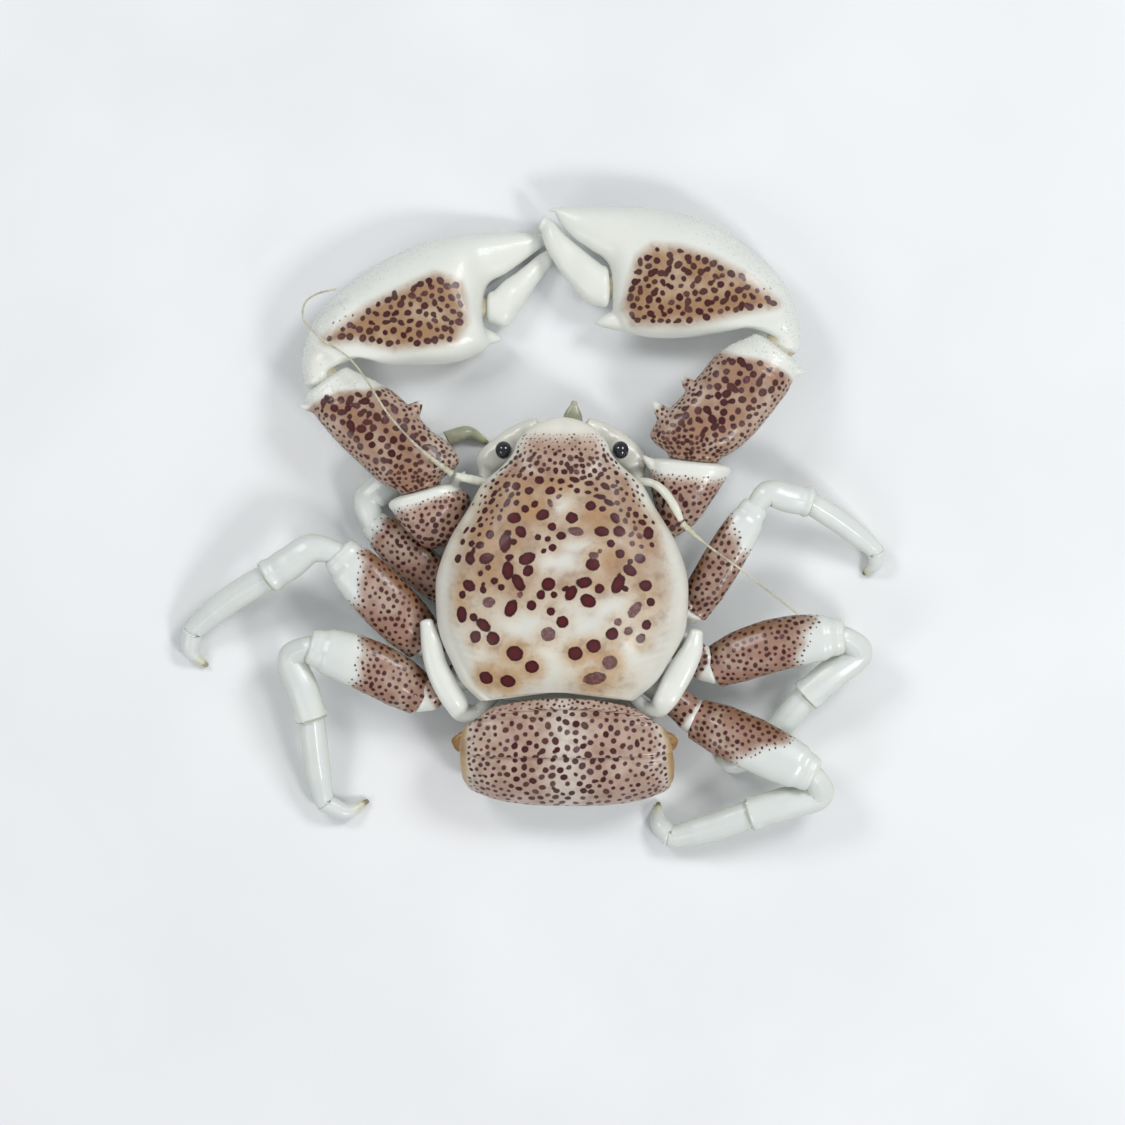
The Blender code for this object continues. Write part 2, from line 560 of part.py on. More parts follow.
def build_tail_fan():
    """The end plate and the two pairs of side blades, fused where they lie over each other."""
    back, height, half, thickness = TAIL[-1]
    front = back - GAP
    fan = plate(
        "tail_fan",
        [
            (1.2, front - 0.2, -1.2, front - 0.2, height + 0.42, 0.4, 0.4),
            (1.9, front - 1.6, -1.9, front - 1.6, height + 0.42, 0.4, 0.4),
            (1.7, front - 3.2, -1.7, front - 3.2, height + 0.45, 0.36, 0.4),
            (0.9, front - 4.0, -0.9, front - 4.0, height + 0.45, 0.3, 0.35),
        ],
        count=5,
        sides=10,
    )
    blades = []
    for side in (1.0, -1.0):
        for reach, forward in ((1.4, 3.4), (2.6, 2.6)):
            rows = [
                (side * 0.9, front - 0.6, height + 0.4, 1.0, 0.6),
                (side * (0.8 + reach * 0.7), front - forward * 0.5, height + 0.4, 1.7, 0.65),
                (side * (0.9 + reach), front - forward, height + 0.4, 1.3, 0.55),
            ]
            blades.append(limb("blade", rows, ends=(0.2, 0.4), count=4, sides=8))
    fuse(fan, blades)
    return fan


def build_leg(name):
    """Long segment, wrist, shin and claw. Each starts a gap beyond the end of the one before it."""
    hip, start, knee, bend, wrist, ankle, hook, tip, widths = LEGS[name]
    start, knee, bend, wrist, ankle, hook, tip = (
        np.array(point) for point in (start, knee, bend, wrist, ankle, hook, tip)
    )
    long_width, wrist_width, shin_width, long_bow, shin_bow = widths
    thigh_head = unit(knee - start)
    wrist_head = unit(unit(wrist - bend) + unit(ankle - wrist))
    ankle_head = unit(unit(ankle - wrist) + unit(hook - ankle))
    first, last = start + thigh_head * (GAP / 2.0 + 0.3), knee - thigh_head * (GAP / 2.0 + 0.55)
    spread = np.linspace(0.0, 1.0, 9)[:, None]
    width = shares(LONG_SEGMENT, 9)[:, None] * long_width
    crown = np.sin(spread * math.pi) * 0.25 * UP
    aside = unit(np.cross(UP, thigh_head)) * np.sin(spread * math.pi) * long_bow
    rows = np.hstack([first + (last - first) * spread + crown + aside, width, width * FLATNESS])
    made = [limb(name + "_merus", rows, ends=(0.3, 0.4), count=8, sides=12)]

    rows = np.array([knee + thigh_head * (GAP / 2.0 + 0.3), bend, (bend + wrist) / 2.0, wrist])
    width = shares(WRIST, 4)[:, None] * wrist_width
    made.append(
        limb(
            name + "_carpus", np.hstack([rows, width, width * 0.9]), ends=(0.3, -0.2), count=7, sides=10,
            facing=(thigh_head, wrist_head),
        )
    )
    first, last = wrist + wrist_head * 0.45, ankle - ankle_head * (GAP / 2.0 + 0.2)
    spread = np.linspace(0.0, 1.0, 7)[:, None]
    width = shares(SHIN, 7)[:, None] * shin_width
    aside = unit(np.cross(UP, last - first)) * np.sin(spread * math.pi) * shin_bow
    rows = np.hstack([first + (last - first) * spread + aside, width, width * 0.88])
    made.append(
        limb(name + "_propodus", rows, ends=(0.35, 0.2), count=6, sides=10, facing=(wrist_head, ankle_head))
    )
    first = ankle + ankle_head * (GAP / 2.0 + 0.15)
    claw_width = shin_width * 0.74
    rows = [
        (*first, claw_width, claw_width),
        (*hook, claw_width * 0.8, claw_width * 0.8),
        (*tip, 0.35, 0.6),
    ]
    made.append(
        limb(name + "_dactyl", rows, ends=(0.15, 0.15), count=6, sides=8, facing=(ankle_head, None))
    )
    return made


def build_claws():
    made = []
    for side in ("left", "right"):
        made.append(plate("claw_arm_" + side, ARM[side], ends=(0.2, 0.3), count=7, sides=12))
        made.append(plate("claw_wrist_" + side, CLAW_WRIST[side], ends=(0.25, 0.25), count=8, sides=14))
        made.append(plate("claw_palm_" + side, PALM[side], ends=(0.4, 0.3), count=18, sides=16))
        made.append(plate("claw_finger_" + side, FINGER[side], ends=(0.2, 0.3), count=8, sides=10))
    for piece in made:
        if piece.name in TEETH:
            fuse(piece, [tooth(*numbers) for numbers in TEETH[piece.name]])
    return made


def build_eye(side, sign):
    mesh = bmesh.new()
    bmesh.ops.create_uvsphere(mesh, u_segments=12, v_segments=8, radius=EYE_RADIUS * MM)
    data = bpy.data.meshes.new("eye_" + side)
    mesh.to_mesh(data)
    mesh.free()
    data.shade_smooth()
    eye = bpy.data.objects.new("eye_" + side, data)
    eye.location = (sign * EYE[0] * MM, EYE[1] * MM, EYE[2] * MM)
    eye.scale = (0.92, 1.0, 0.95)
    PARTS.objects.link(eye)
    return eye


def mirrored(rows, places):
    """The rows with the numbers at these places turned to the crab's other side."""
    table = np.array(rows, float)
    table[:, places] *= -1.0
    return table


def build_face():
    made = []
    for side, sign in (("left", 1.0), ("right", -1.0)):
        made.append(build_eye(side, sign))
        stalk = STALK if sign > 0 else mirrored(STALK, [0])
        made.append(limb("eyestalk_" + side, stalk, ends=(0.15, 0.1), count=4, sides=8))
        mouth = MOUTH_PLATE if sign > 0 else mirrored(MOUTH_PLATE, [0, 2])
        made.append(plate("mouthpart_" + side, mouth, ends=(0.2, 0.2), count=6, sides=10))
        palp = MOUTH_PALP if sign > 0 else mirrored(MOUTH_PALP, [0])
        made.append(limb("mouth_palp_" + side, palp, ends=(0.2, 0.2), count=5, sides=8))
        made.append(limb("antennule_" + side, ANTENNULE[side], ends=(0.2, 0.3), count=5, sides=8))
        made.append(limb("antenna_base_" + side, ANTENNA_BASE[side], ends=(0.2, 0.1), count=5, sides=8))
        made.append(build_antenna(side))
    return made


def build_antenna(side):
    """A long whip, thinning to its end."""
    points = through(ANTENNA[side], 26 if side == "left" else 12)
    curve = bpy.data.curves.new("antenna_" + side, "CURVE")
    curve.dimensions = "3D"
    curve.bevel_depth = MM
    curve.bevel_resolution = 2
    curve.use_fill_caps = True
    spline = curve.splines.new("POLY")
    spline.points.add(len(points) - 1)
    for point, place, share in zip(spline.points, points, np.linspace(0.0, 1.0, len(points))):
        point.co = (*(place * MM), 1.0)
        point.radius = ANTENNA_RADIUS[0] + (ANTENNA_RADIUS[1] - ANTENNA_RADIUS[0]) * share
    made = bpy.data.objects.new("antenna_" + side, curve)
    PARTS.objects.link(made)
    return made


def build_fifth_legs():
    return [
        limb("fifth_leg_" + side, FIFTH_LEG[side], ends=(0.3, 0.4), count=8, sides=10) for side in FIFTH_LEG
    ]


def look_of(name):
    if name.startswith("eye_"):
        return "eye"
    if name.startswith(("antenna_left", "antenna_right", "antennule")):
        return "feeler"
    if name == "abdomen_core":
        return "flesh"
    if name.endswith("_dactyl"):
        return "horn_tip"
    if name.startswith(("carapace", "abdomen", "tail")):
        return "spotted_shell"
    if name.endswith("_merus") or name.startswith("claw_"):
        return "spotted_limb"
    return "porcelain"


def build_crab():
    looks = make_materials()
    middle = bpy.data.objects.new("crab_middle", None)
    middle.location = (MIDDLE[0] * MM, MIDDLE[1] * MM, 0.0)
    PARTS.objects.link(middle)
    build_shell()
    build_thorax()
    build_tail()
    core = lengthwise_block("abdomen_core", TAIL_CORE, 6, 14, 2.6)
    core.location.x = -TAIL_SWING * (TAIL_CORE[1][0] - TAIL_SWING_FROM) * MM
    build_tail_fan()
    for name in LEGS:
        build_leg(name)
    build_claws()
    build_face()
    build_fifth_legs()
    for piece in PARTS.objects:
        if piece is not middle:
            piece.parent = middle
            piece.data.materials.clear()
            piece.data.materials.append(looks[look_of(piece.name)])


clear_scene()
PARTS = bpy.data.collections.new(NAME)
bpy.context.scene.collection.children.link(PARTS)
build_crab()
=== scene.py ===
"""Spotted porcelain crab: the finish of every plate of its shell, shown from above on a pale studio floor.

The tables give millimetres in the crab's own frame: x to its left, y from the middle of the shell to its
tail, z up from the floor. The crab faces -Y. Every piece is made in millimetres and set down in metres.
"""

import collections
import math

import bmesh
import bpy
import numpy as np
from mathutils import Matrix, Vector


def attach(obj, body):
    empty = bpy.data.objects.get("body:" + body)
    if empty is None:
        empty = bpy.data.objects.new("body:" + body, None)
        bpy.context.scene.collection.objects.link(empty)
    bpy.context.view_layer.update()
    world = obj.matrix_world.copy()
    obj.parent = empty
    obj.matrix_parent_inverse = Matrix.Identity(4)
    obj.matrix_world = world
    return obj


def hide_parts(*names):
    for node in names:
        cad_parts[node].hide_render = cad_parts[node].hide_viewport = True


MM = 0.001
GAP = 0.3  # clearance between neighbouring pieces of shell
MIDDLE = (-2.04, 2.36)  # where the middle of the shell lies in the part's frame

# The photograph's view: how far away it is, how high the plane is that it is measured at, how much it
# covers there, and where its middle lies on the crab
VIEW_DISTANCE = 500.0
VIEW_LEVEL = 5.0
VIEW_WIDTH = 79.8
VIEW_MIDDLE = (-0.035, 0.18)
SENSOR = 36.0

# How square the sections are: 2 is an ellipse
LIMB_FORM = 2.2
CLAW_FORM = 2.3

# Cubes that pieces are grown together from
FINE_CUBE = 0.1
THORAX_CUBE = 0.115

# The shell: how far back, half width, top, edge and underside
SHELL = [
    (-10.1, 0.25, 6.05, 5.9, 5.7),
    (-9.6, 1.6, 6.35, 5.9, 5.6),
    (-8.7, 2.9, 6.7, 5.9, 5.55),
    (-7.4, 3.6, 7.1, 5.85, 5.45),
    (-6.6, 4.3, 7.35, 5.6, 5.1),
    (-5.6, 5.45, 7.6, 5.3, 4.8),
    (-3.8, 6.5, 8.1, 5.0, 4.4),
    (-1.4, 7.95, 8.7, 4.8, 4.2),
    (1.2, 8.85, 9.0, 4.8, 4.2),
    (3.0, 8.9, 9.0, 4.8, 4.2),
    (5.2, 8.65, 8.8, 4.9, 4.2),
    (7.2, 7.7, 8.2, 5.0, 4.3),
    (8.9, 6.65, 7.3, 5.1, 4.5),
    (10.0, 5.4, 6.5, 5.2, 4.8),
]
REAR_NOTCH = 0.65  # how far the middle of the rear edge is drawn in
LEAN = 0.08  # how far the rear of the shell turns to the crab's left
LEAN_FROM = 5.2
LOBE_MIDDLE = -7.8  # the swollen front lobe: how far back its middle lies, and its reach along x and y
LOBE_REACH = (3.0, 2.5)

# The underside that carries the legs: how far back, half width, middle height, rise, drop
THORAX = [
    (-7.3, 1.5, 3.3, 0.9, 0.9),
    (-6.3, 3.2, 3.2, 1.0, 1.2),
    (-4.5, 4.7, 3.0, 1.0, 1.3),
    (-1.0, 5.6, 2.8, 1.1, 1.1),
    (4.0, 5.7, 2.8, 1.1, 1.1),
    (8.0, 5.1, 2.8, 1.2, 1.1),
    (9.9, 4.2, 3.0, 1.4, 1.1),
]
BREAST_GROOVES = (-3.2, 0.4, 3.4, 6.4)  # how far back the grooves between the legs lie

# The tail's outer line from the shell's rear edge, round the bend and forward under the belly:
# back, height, half width, thickness
TAIL = [
    (9.8, 5.9, 5.4, 1.2),
    (11.0, 6.4, 6.9, 1.4),
    (12.7, 6.6, 7.4, 1.6),
    (14.6, 6.2, 7.6, 1.6),
    (16.4, 5.2, 7.6, 1.6),
    (17.5, 3.5, 7.5, 1.6),
    (16.9, 1.6, 7.2, 1.3),
    (15.2, 0.7, 6.6, 0.9),
    (12.0, 0.55, 6.0, 0.85),
    (8.0, 0.55, 5.2, 0.85),
    (4.0, 0.55, 4.6, 0.8),
]
# The ends of the six rings as shares of that line, and the point that their inner side faces
TAIL_ENDS = [0.0, 0.037, 0.185, 0.5, 0.66, 0.83, 1.0]
TAIL_HUB = (13.0, 3.4)
# The flesh in the fold: how far back, half width, middle height, rise, drop
TAIL_CORE = [
    (11.9, 6.6, 2.8, 0.75, 0.95),
    (12.5, 7.8, 2.8, 0.8, 0.95),
    (13.4, 7.9, 2.8, 0.8, 0.95),
    (14.1, 7.0, 2.8, 0.8, 0.95),
]
TAIL_SWING = 0.08  # how far the tail turns to the crab's right
TAIL_SWING_FROM = 10.0
# How far a ring reaches under the one before it, how deep it sinks there, and the height of its rear rim
TAIL_TUCK = 0.45
TAIL_SINK = 0.16
TAIL_RIM = 0.07
# The tail fan: the half width, place forward, height, rise and drop of its end plate, and how far aside and
# forward each pair of blades reaches
FAN_PLATE = [
    (1.2, 0.2, 0.42, 0.4, 0.4),
    (1.9, 1.6, 0.42, 0.4, 0.4),
    (1.7, 3.2, 0.45, 0.36, 0.4),
    (0.9, 4.0, 0.45, 0.3, 0.35),
]
FAN_BLADES = ((1.4, 3.4), (2.6, 2.6))

# Walking legs: hip, start and end of the long segment, bend and end of the wrist, end of the shin,
# middle and tip of the claw, then the widths of the long segment, wrist and shin, and how far the long
# segment and the shin bow sideways
LEGS = {
    "leg_1_left": (
        (5.0, 0.6, 2.6), (8.3, 2.1, 1.9), (13.8, -2.9, 1.85), (13.8, -4.3, 1.8), (11.9, -6.0, 1.6),
        (8.1, -8.7, 0.95), (6.7, -9.1, 0.75), (5.4, -8.4, 0.2), (3.1, 2.45, 1.6, 0.0, 0.0),
    ),
    "leg_2_left": (
        (5.0, 4.0, 2.8), (9.9, 5.7, 2.8), (16.1, -0.7, 4.1), (17.8, -0.8, 4.0), (20.9, 1.2, 3.3),
        (26.5, 5.3, 1.0), (26.6, 6.5, 0.7), (25.5, 7.5, 0.2), (4.0, 2.4, 2.0, 0.0, -0.25),
    ),
    "leg_3_left": (
        (4.7, 7.2, 2.8), (10.2, 9.6, 2.9), (18.1, 6.0, 4.3), (19.2, 6.9, 3.3), (17.8, 11.3, 3.0),
        (16.8, 17.5, 1.0), (15.4, 18.0, 0.7), (14.0, 17.3, 0.2), (3.8, 2.3, 1.9, -0.4, -0.1),
    ),
    "leg_1_right": (
        (-5.0, 0.8, 2.8), (-9.35, 3.5, 2.9), (-13.9, -4.1, 4.1), (-14.6, -4.7, 4.1), (-17.6, -4.1, 3.4),
        (-22.5, -0.4, 1.1), (-22.4, 0.3, 0.8), (-21.7, 0.9, 0.2), (2.9, 2.1, 1.7, 0.0, 0.15),
    ),
    "leg_2_right": (
        (-5.0, 4.2, 2.8), (-11.0, 7.6, 3.0), (-20.2, 5.3, 4.4), (-21.1, 6.5, 3.3), (-17.4, 9.7, 2.6),
        (-13.1, 14.5, 1.0), (-12.1, 14.7, 0.7), (-11.1, 14.0, 0.2), (3.8, 2.3, 1.9, 0.5, 0.0),
    ),
    "leg_3_right": (
        (-4.7, 7.4, 2.8), (-9.8, 11.4, 2.9), (-18.1, 15.4, 4.5), (-18.3, 16.6, 3.2), (-13.4, 18.1, 2.8),
        (-7.6, 19.7, 1.0), (-6.9, 18.7, 0.7), (-6.9, 17.5, 0.2), (3.8, 2.4, 2.1, 0.1, 0.15),
    ),
}
# Widths along a leg's segments: share of the length, share of the width
LONG_SEGMENT = [(0.0, 0.8), (0.2, 0.96), (0.45, 1.0), (0.7, 0.96), (0.88, 0.86), (1.0, 0.66)]
WRIST = [(0.0, 0.66), (0.3, 0.86), (0.7, 1.0), (1.0, 1.0)]
SHIN = [(0.0, 0.96), (0.3, 1.0), (0.7, 0.94), (1.0, 0.7)]
FLATNESS = 0.66  # depth of the long segment as a share of its width
SEGMENT_STEP = 0.1  # from one section of a long segment or a shin to the next
# How far the spots reach along each long segment, on its edge towards the head and towards the tail
SPOTTED_SHARE = {
    "leg_1_left": (0.92, 0.88), "leg_2_left": (0.88, 0.62), "leg_3_left": (0.62, 0.55),
    "leg_1_right": (0.8, 0.62), "leg_2_right": (0.8, 0.65), "leg_3_right": (0.72, 0.42),
}

# Claw arms. Each row holds the outer edge, the inner edge, the middle height, rise and drop
ARM = {
    "left": [
        (7.9, -1.1, 6.7, -3.1, 3.0, 1.15, 1.05),
        (9.3, -0.8, 6.5, -4.0, 3.2, 1.2, 1.05),
        (10.9, -1.9, 6.6, -4.6, 3.6, 1.45, 1.3),
        (12.3, -3.8, 7.4, -5.2, 3.7, 1.65, 1.6),
    ],
    "right": [
        (-7.9, -1.5, -6.7, -3.5, 2.9, 1.15, 1.1),
        (-9.4, -2.5, -6.5, -4.3, 3.0, 1.35, 1.3),
        (-10.6, -4.1, -6.3, -5.2, 3.3, 1.6, 1.5),
        (-12.0, -6.3, -6.15, -6.85, 3.7, 1.65, 1.6),
    ],
}
CLAW_WRIST = {
    "left": [
        (11.7, -4.95, 8.6, -5.75, 4.1, 1.4, 1.3),
        (12.7, -5.4, 7.5, -6.6, 4.3, 1.65, 1.6),
        (14.1, -6.6, 7.9, -8.1, 4.4, 1.7, 1.7),
        (15.4, -7.8, 9.4, -9.3, 4.4, 1.7, 1.7),
        (16.7, -9.2, 10.9, -11.0, 4.3, 1.7, 1.7),
        (17.7, -10.5, 12.8, -12.5, 4.1, 1.65, 1.7),
        (18.1, -11.3, 15.0, -13.5, 3.8, 1.4, 1.4),
    ],
    "right": [
        (-11.3, -7.25, -7.5, -7.65, 4.1, 1.4, 1.3),
        (-12.2, -7.7, -6.4, -8.5, 4.3, 1.65, 1.6),
        (-13.3, -8.6, -6.7, -9.8, 4.4, 1.7, 1.7),
        (-14.3, -9.7, -8.2, -11.3, 4.4, 1.7, 1.7),
        (-15.4, -11.1, -9.7, -13.1, 4.3, 1.7, 1.7),
        (-16.3, -12.4, -11.6, -15.1, 4.1, 1.65, 1.7),
        (-16.7, -13.5, -13.5, -15.9, 3.8, 1.4, 1.4),
    ],
}
PALM = {
    "left": [
        (18.3, -12.5, 16.4, -13.6, 3.6, 1.2, 1.3),
        (18.5, -14.2, 14.4, -14.4, 3.3, 1.7, 1.8),
        (18.0, -16.2, 12.5, -13.9, 2.8, 2.0, 2.3),
        (16.8, -18.2, 10.4, -13.9, 2.4, 2.3, 2.5),
        (15.0, -19.8, 8.2, -14.0, 2.3, 2.4, 2.45),
        (12.6, -21.4, 6.4, -14.5, 2.2, 2.3, 2.35),
        (10.2, -22.5, 5.2, -15.5, 2.0, 2.1, 2.1),
        (7.9, -23.1, 5.65, -17.2, 1.8, 1.7, 1.7),
        (6.2, -23.3, 5.4, -19.5, 1.5, 1.2, 1.3),
        (4.4, -23.4, 3.9, -20.5, 1.2, 0.95, 1.0),
        (2.8, -23.4, 2.45, -21.6, 1.0, 0.7, 0.7),
        (1.2, -23.3, 1.3, -22.5, 0.8, 0.45, 0.4),
    ],
    "right": [
        (-16.9, -15.0, -15.0, -15.9, 3.6, 1.2, 1.3),
        (-16.9, -16.5, -13.2, -16.5, 3.3, 1.7, 1.8),
        (-16.5, -18.2, -11.5, -16.2, 2.8, 2.0, 2.3),
        (-15.5, -20.2, -9.4, -15.9, 2.4, 2.3, 2.5),
        (-14.0, -21.7, -7.4, -15.8, 2.4, 2.4, 2.55),
        (-11.8, -23.3, -5.5, -16.0, 2.4, 2.4, 2.5),
        (-9.6, -24.4, -4.1, -16.5, 2.5, 2.2, 2.1),
        (-7.3, -24.9, -3.65, -17.8, 2.6, 1.9, 1.8),
        (-5.5, -25.1, -3.35, -21.0, 2.7, 1.4, 1.4),
        (-3.5, -25.2, -1.9, -22.2, 2.7, 1.1, 1.1),
        (-1.6, -25.2, -0.75, -23.0, 2.6, 0.85, 0.8),
        (-0.3, -25.2, 0.1, -23.95, 2.5, 0.55, 0.5),
        (0.7, -25.1, 0.6, -24.9, 2.4, 0.3, 0.3),
    ],
}
FINGER = {
    "left": [
        (4.9, -19.2, 4.95, -16.9, 1.6, 0.9, 1.0),
        (4.25, -19.85, 4.1, -16.6, 1.5, 1.0, 1.1),
        (3.4, -20.45, 3.0, -17.9, 1.3, 0.9, 1.0),
        (2.5, -21.15, 2.0, -19.4, 1.1, 0.75, 0.8),
        (1.5, -21.95, 1.1, -20.7, 0.9, 0.5, 0.6),
        (0.6, -22.4, 0.4, -21.6, 0.8, 0.35, 0.4),
    ],
    "right": [
        (-2.9, -21.0, -2.95, -18.0, 2.6, 1.1, 1.1),
        (-1.95, -21.75, -1.9, -18.3, 2.6, 1.1, 1.1),
        (-0.9, -22.6, -0.6, -19.6, 2.6, 0.9, 0.8),
        (-0.05, -23.35, 0.5, -21.1, 2.6, 0.8, 0.65),
        (0.65, -24.15, 1.25, -22.5, 2.5, 0.6, 0.5),
        (1.1, -24.5, 1.5, -23.5, 2.4, 0.35, 0.35),
    ],
}
# Teeth: the piece that each one grows on, its root, its tip and the radius of its root
TEETH = {
    "claw_wrist_left": [
        ((16.9, -10.7, 4.0), (18.7, -10.9, 4.0), 0.5),
        ((11.0, -10.1, 4.5), (9.9, -11.3, 4.6), 0.8),
    ],
    "claw_wrist_right": [
        ((-15.6, -13.1, 4.0), (-17.3, -13.5, 4.0), 0.5),
        ((-9.9, -11.6, 4.5), (-8.4, -13.0, 4.6), 0.8),
        ((-7.8, -9.6, 4.5), (-6.4, -11.3, 4.6), 0.8),
    ],
    "claw_palm_left": [((6.5, -16.0, 1.9), (4.3, -15.75, 1.9), 0.95)],
    "claw_palm_right": [((-4.6, -17.2, 2.5), (-2.3, -16.9, 2.5), 0.95)],
    "claw_arm_left": [((8.2, -4.6, 3.8), (6.9, -6.3, 3.8), 0.55)],
    "claw_arm_right": [((-6.9, -6.4, 4.0), (-5.7, -7.4, 4.3), 0.5)],
}

# Small hind legs, folded up over the flanks: x, y, z, width, depth
FIFTH_LEG = {
    "left": [
        (5.0, 9.8, 3.25, 1.0, 0.9),
        (6.2, 10.9, 3.6, 1.2, 0.95),
        (7.05, 10.8, 3.95, 1.5, 1.1),
        (7.55, 10.1, 4.4, 1.7, 1.25),
        (8.25, 8.95, 4.7, 1.75, 1.3),
        (8.97, 7.35, 4.8, 1.6, 1.35),
        (9.3, 5.8, 4.95, 1.45, 1.3),
        (9.57, 4.6, 4.85, 1.0, 1.0),
    ],
    "right": [
        (-5.0, 9.7, 3.2, 1.0, 0.9),
        (-6.1, 10.6, 3.8, 1.2, 0.95),
        (-6.85, 10.5, 4.3, 1.4, 1.05),
        (-7.35, 9.85, 4.75, 1.7, 1.2),
        (-8.0, 8.65, 4.75, 1.9, 1.35),
        (-8.75, 7.3, 4.9, 1.8, 1.4),
        (-9.25, 6.3, 4.95, 1.5, 1.3),
        (-9.47, 5.3, 4.85, 1.05, 1.0),
    ],
}

# The face, for the left side: the outer mouthpart's plate has the rows of a claw arm
EYE = (4.15, -7.8, 5.05)
EYE_RADIUS = 0.64
STALK = [(2.4, -6.5, 4.6, 0.6, 0.55), (2.9, -6.9, 4.7, 0.65, 0.6), (3.25, -7.2, 4.85, 0.65, 0.6)]
MOUTH_PLATE = [
    (2.1, -10.1, 1.35, -8.9, 3.7, 0.6, 0.8),
    (3.4, -9.6, 2.1, -8.1, 3.3, 0.7, 1.1),
    (4.9, -8.6, 3.3, -7.1, 3.1, 0.8, 1.4),
    (6.1, -7.2, 4.4, -6.3, 3.0, 0.8, 1.4),
    (5.9, -6.2, 5.0, -5.7, 2.9, 0.6, 1.1),
]
MOUTH_PALP = [(0.75, -9.4, 3.2, 0.6, 0.8), (0.6, -8.9, 2.2, 0.6, 0.8), (0.55, -8.1, 1.7, 0.55, 0.6)]
ANTENNULE = {
    "left": [(0.7, -7.8, 4.7, 0.8, 0.6), (0.75, -8.8, 4.8, 0.8, 0.6), (0.7, -9.7, 4.85, 0.6, 0.5)],
    "right": [(-0.7, -7.8, 4.7, 0.8, 0.6), (-0.8, -10.5, 4.93, 1.1, 0.5), (-0.85, -11.0, 4.95, 0.5, 0.35)],
}
ANTENNA_BASE = {
    "left": [(4.7, -5.3, 4.2, 0.65, 0.5), (5.9, -5.6, 4.6, 0.65, 0.6), (7.2, -5.9, 5.4, 0.55, 0.55)],
    "right": [(-4.9, -5.6, 4.15, 0.6, 0.5), (-6.5, -5.4, 5.0, 0.6, 0.55), (-8.3, -3.1, 5.8, 0.5, 0.5)],
}
ANTENNA = {
    "left": [
        (7.8, -6.1, 5.9), (10.3, -8.1, 6.9), (11.8, -9.7, 6.9), (15.2, -14.4, 6.2), (17.3, -15.9, 5.4),
        (18.4, -17.3, 4.9), (18.2, -18.3, 4.9), (17.3, -18.9, 5.1), (16.0, -19.2, 5.3),
    ],
    "right": [(-8.5, -2.6, 5.8), (-10.1, -1.2, 5.8), (-12.3, 0.4, 5.7), (-14.5, 2.1, 5.7), (-16.8, 3.9, 5.8)],
}
WHIP_SIZES = {"Root radius": 0.25, "Tip radius": 0.075, "Step": 0.06, "Flare": 0.22}
WHIP_RINGS = 2.4  # rings to the millimetre

# Granules on the claws, in millimetres and to the square millimetre
GRANULE_SIZES = {"Spacing": 0.24, "Density": 16.0, "Smallest": 0.03, "Largest": 0.065}

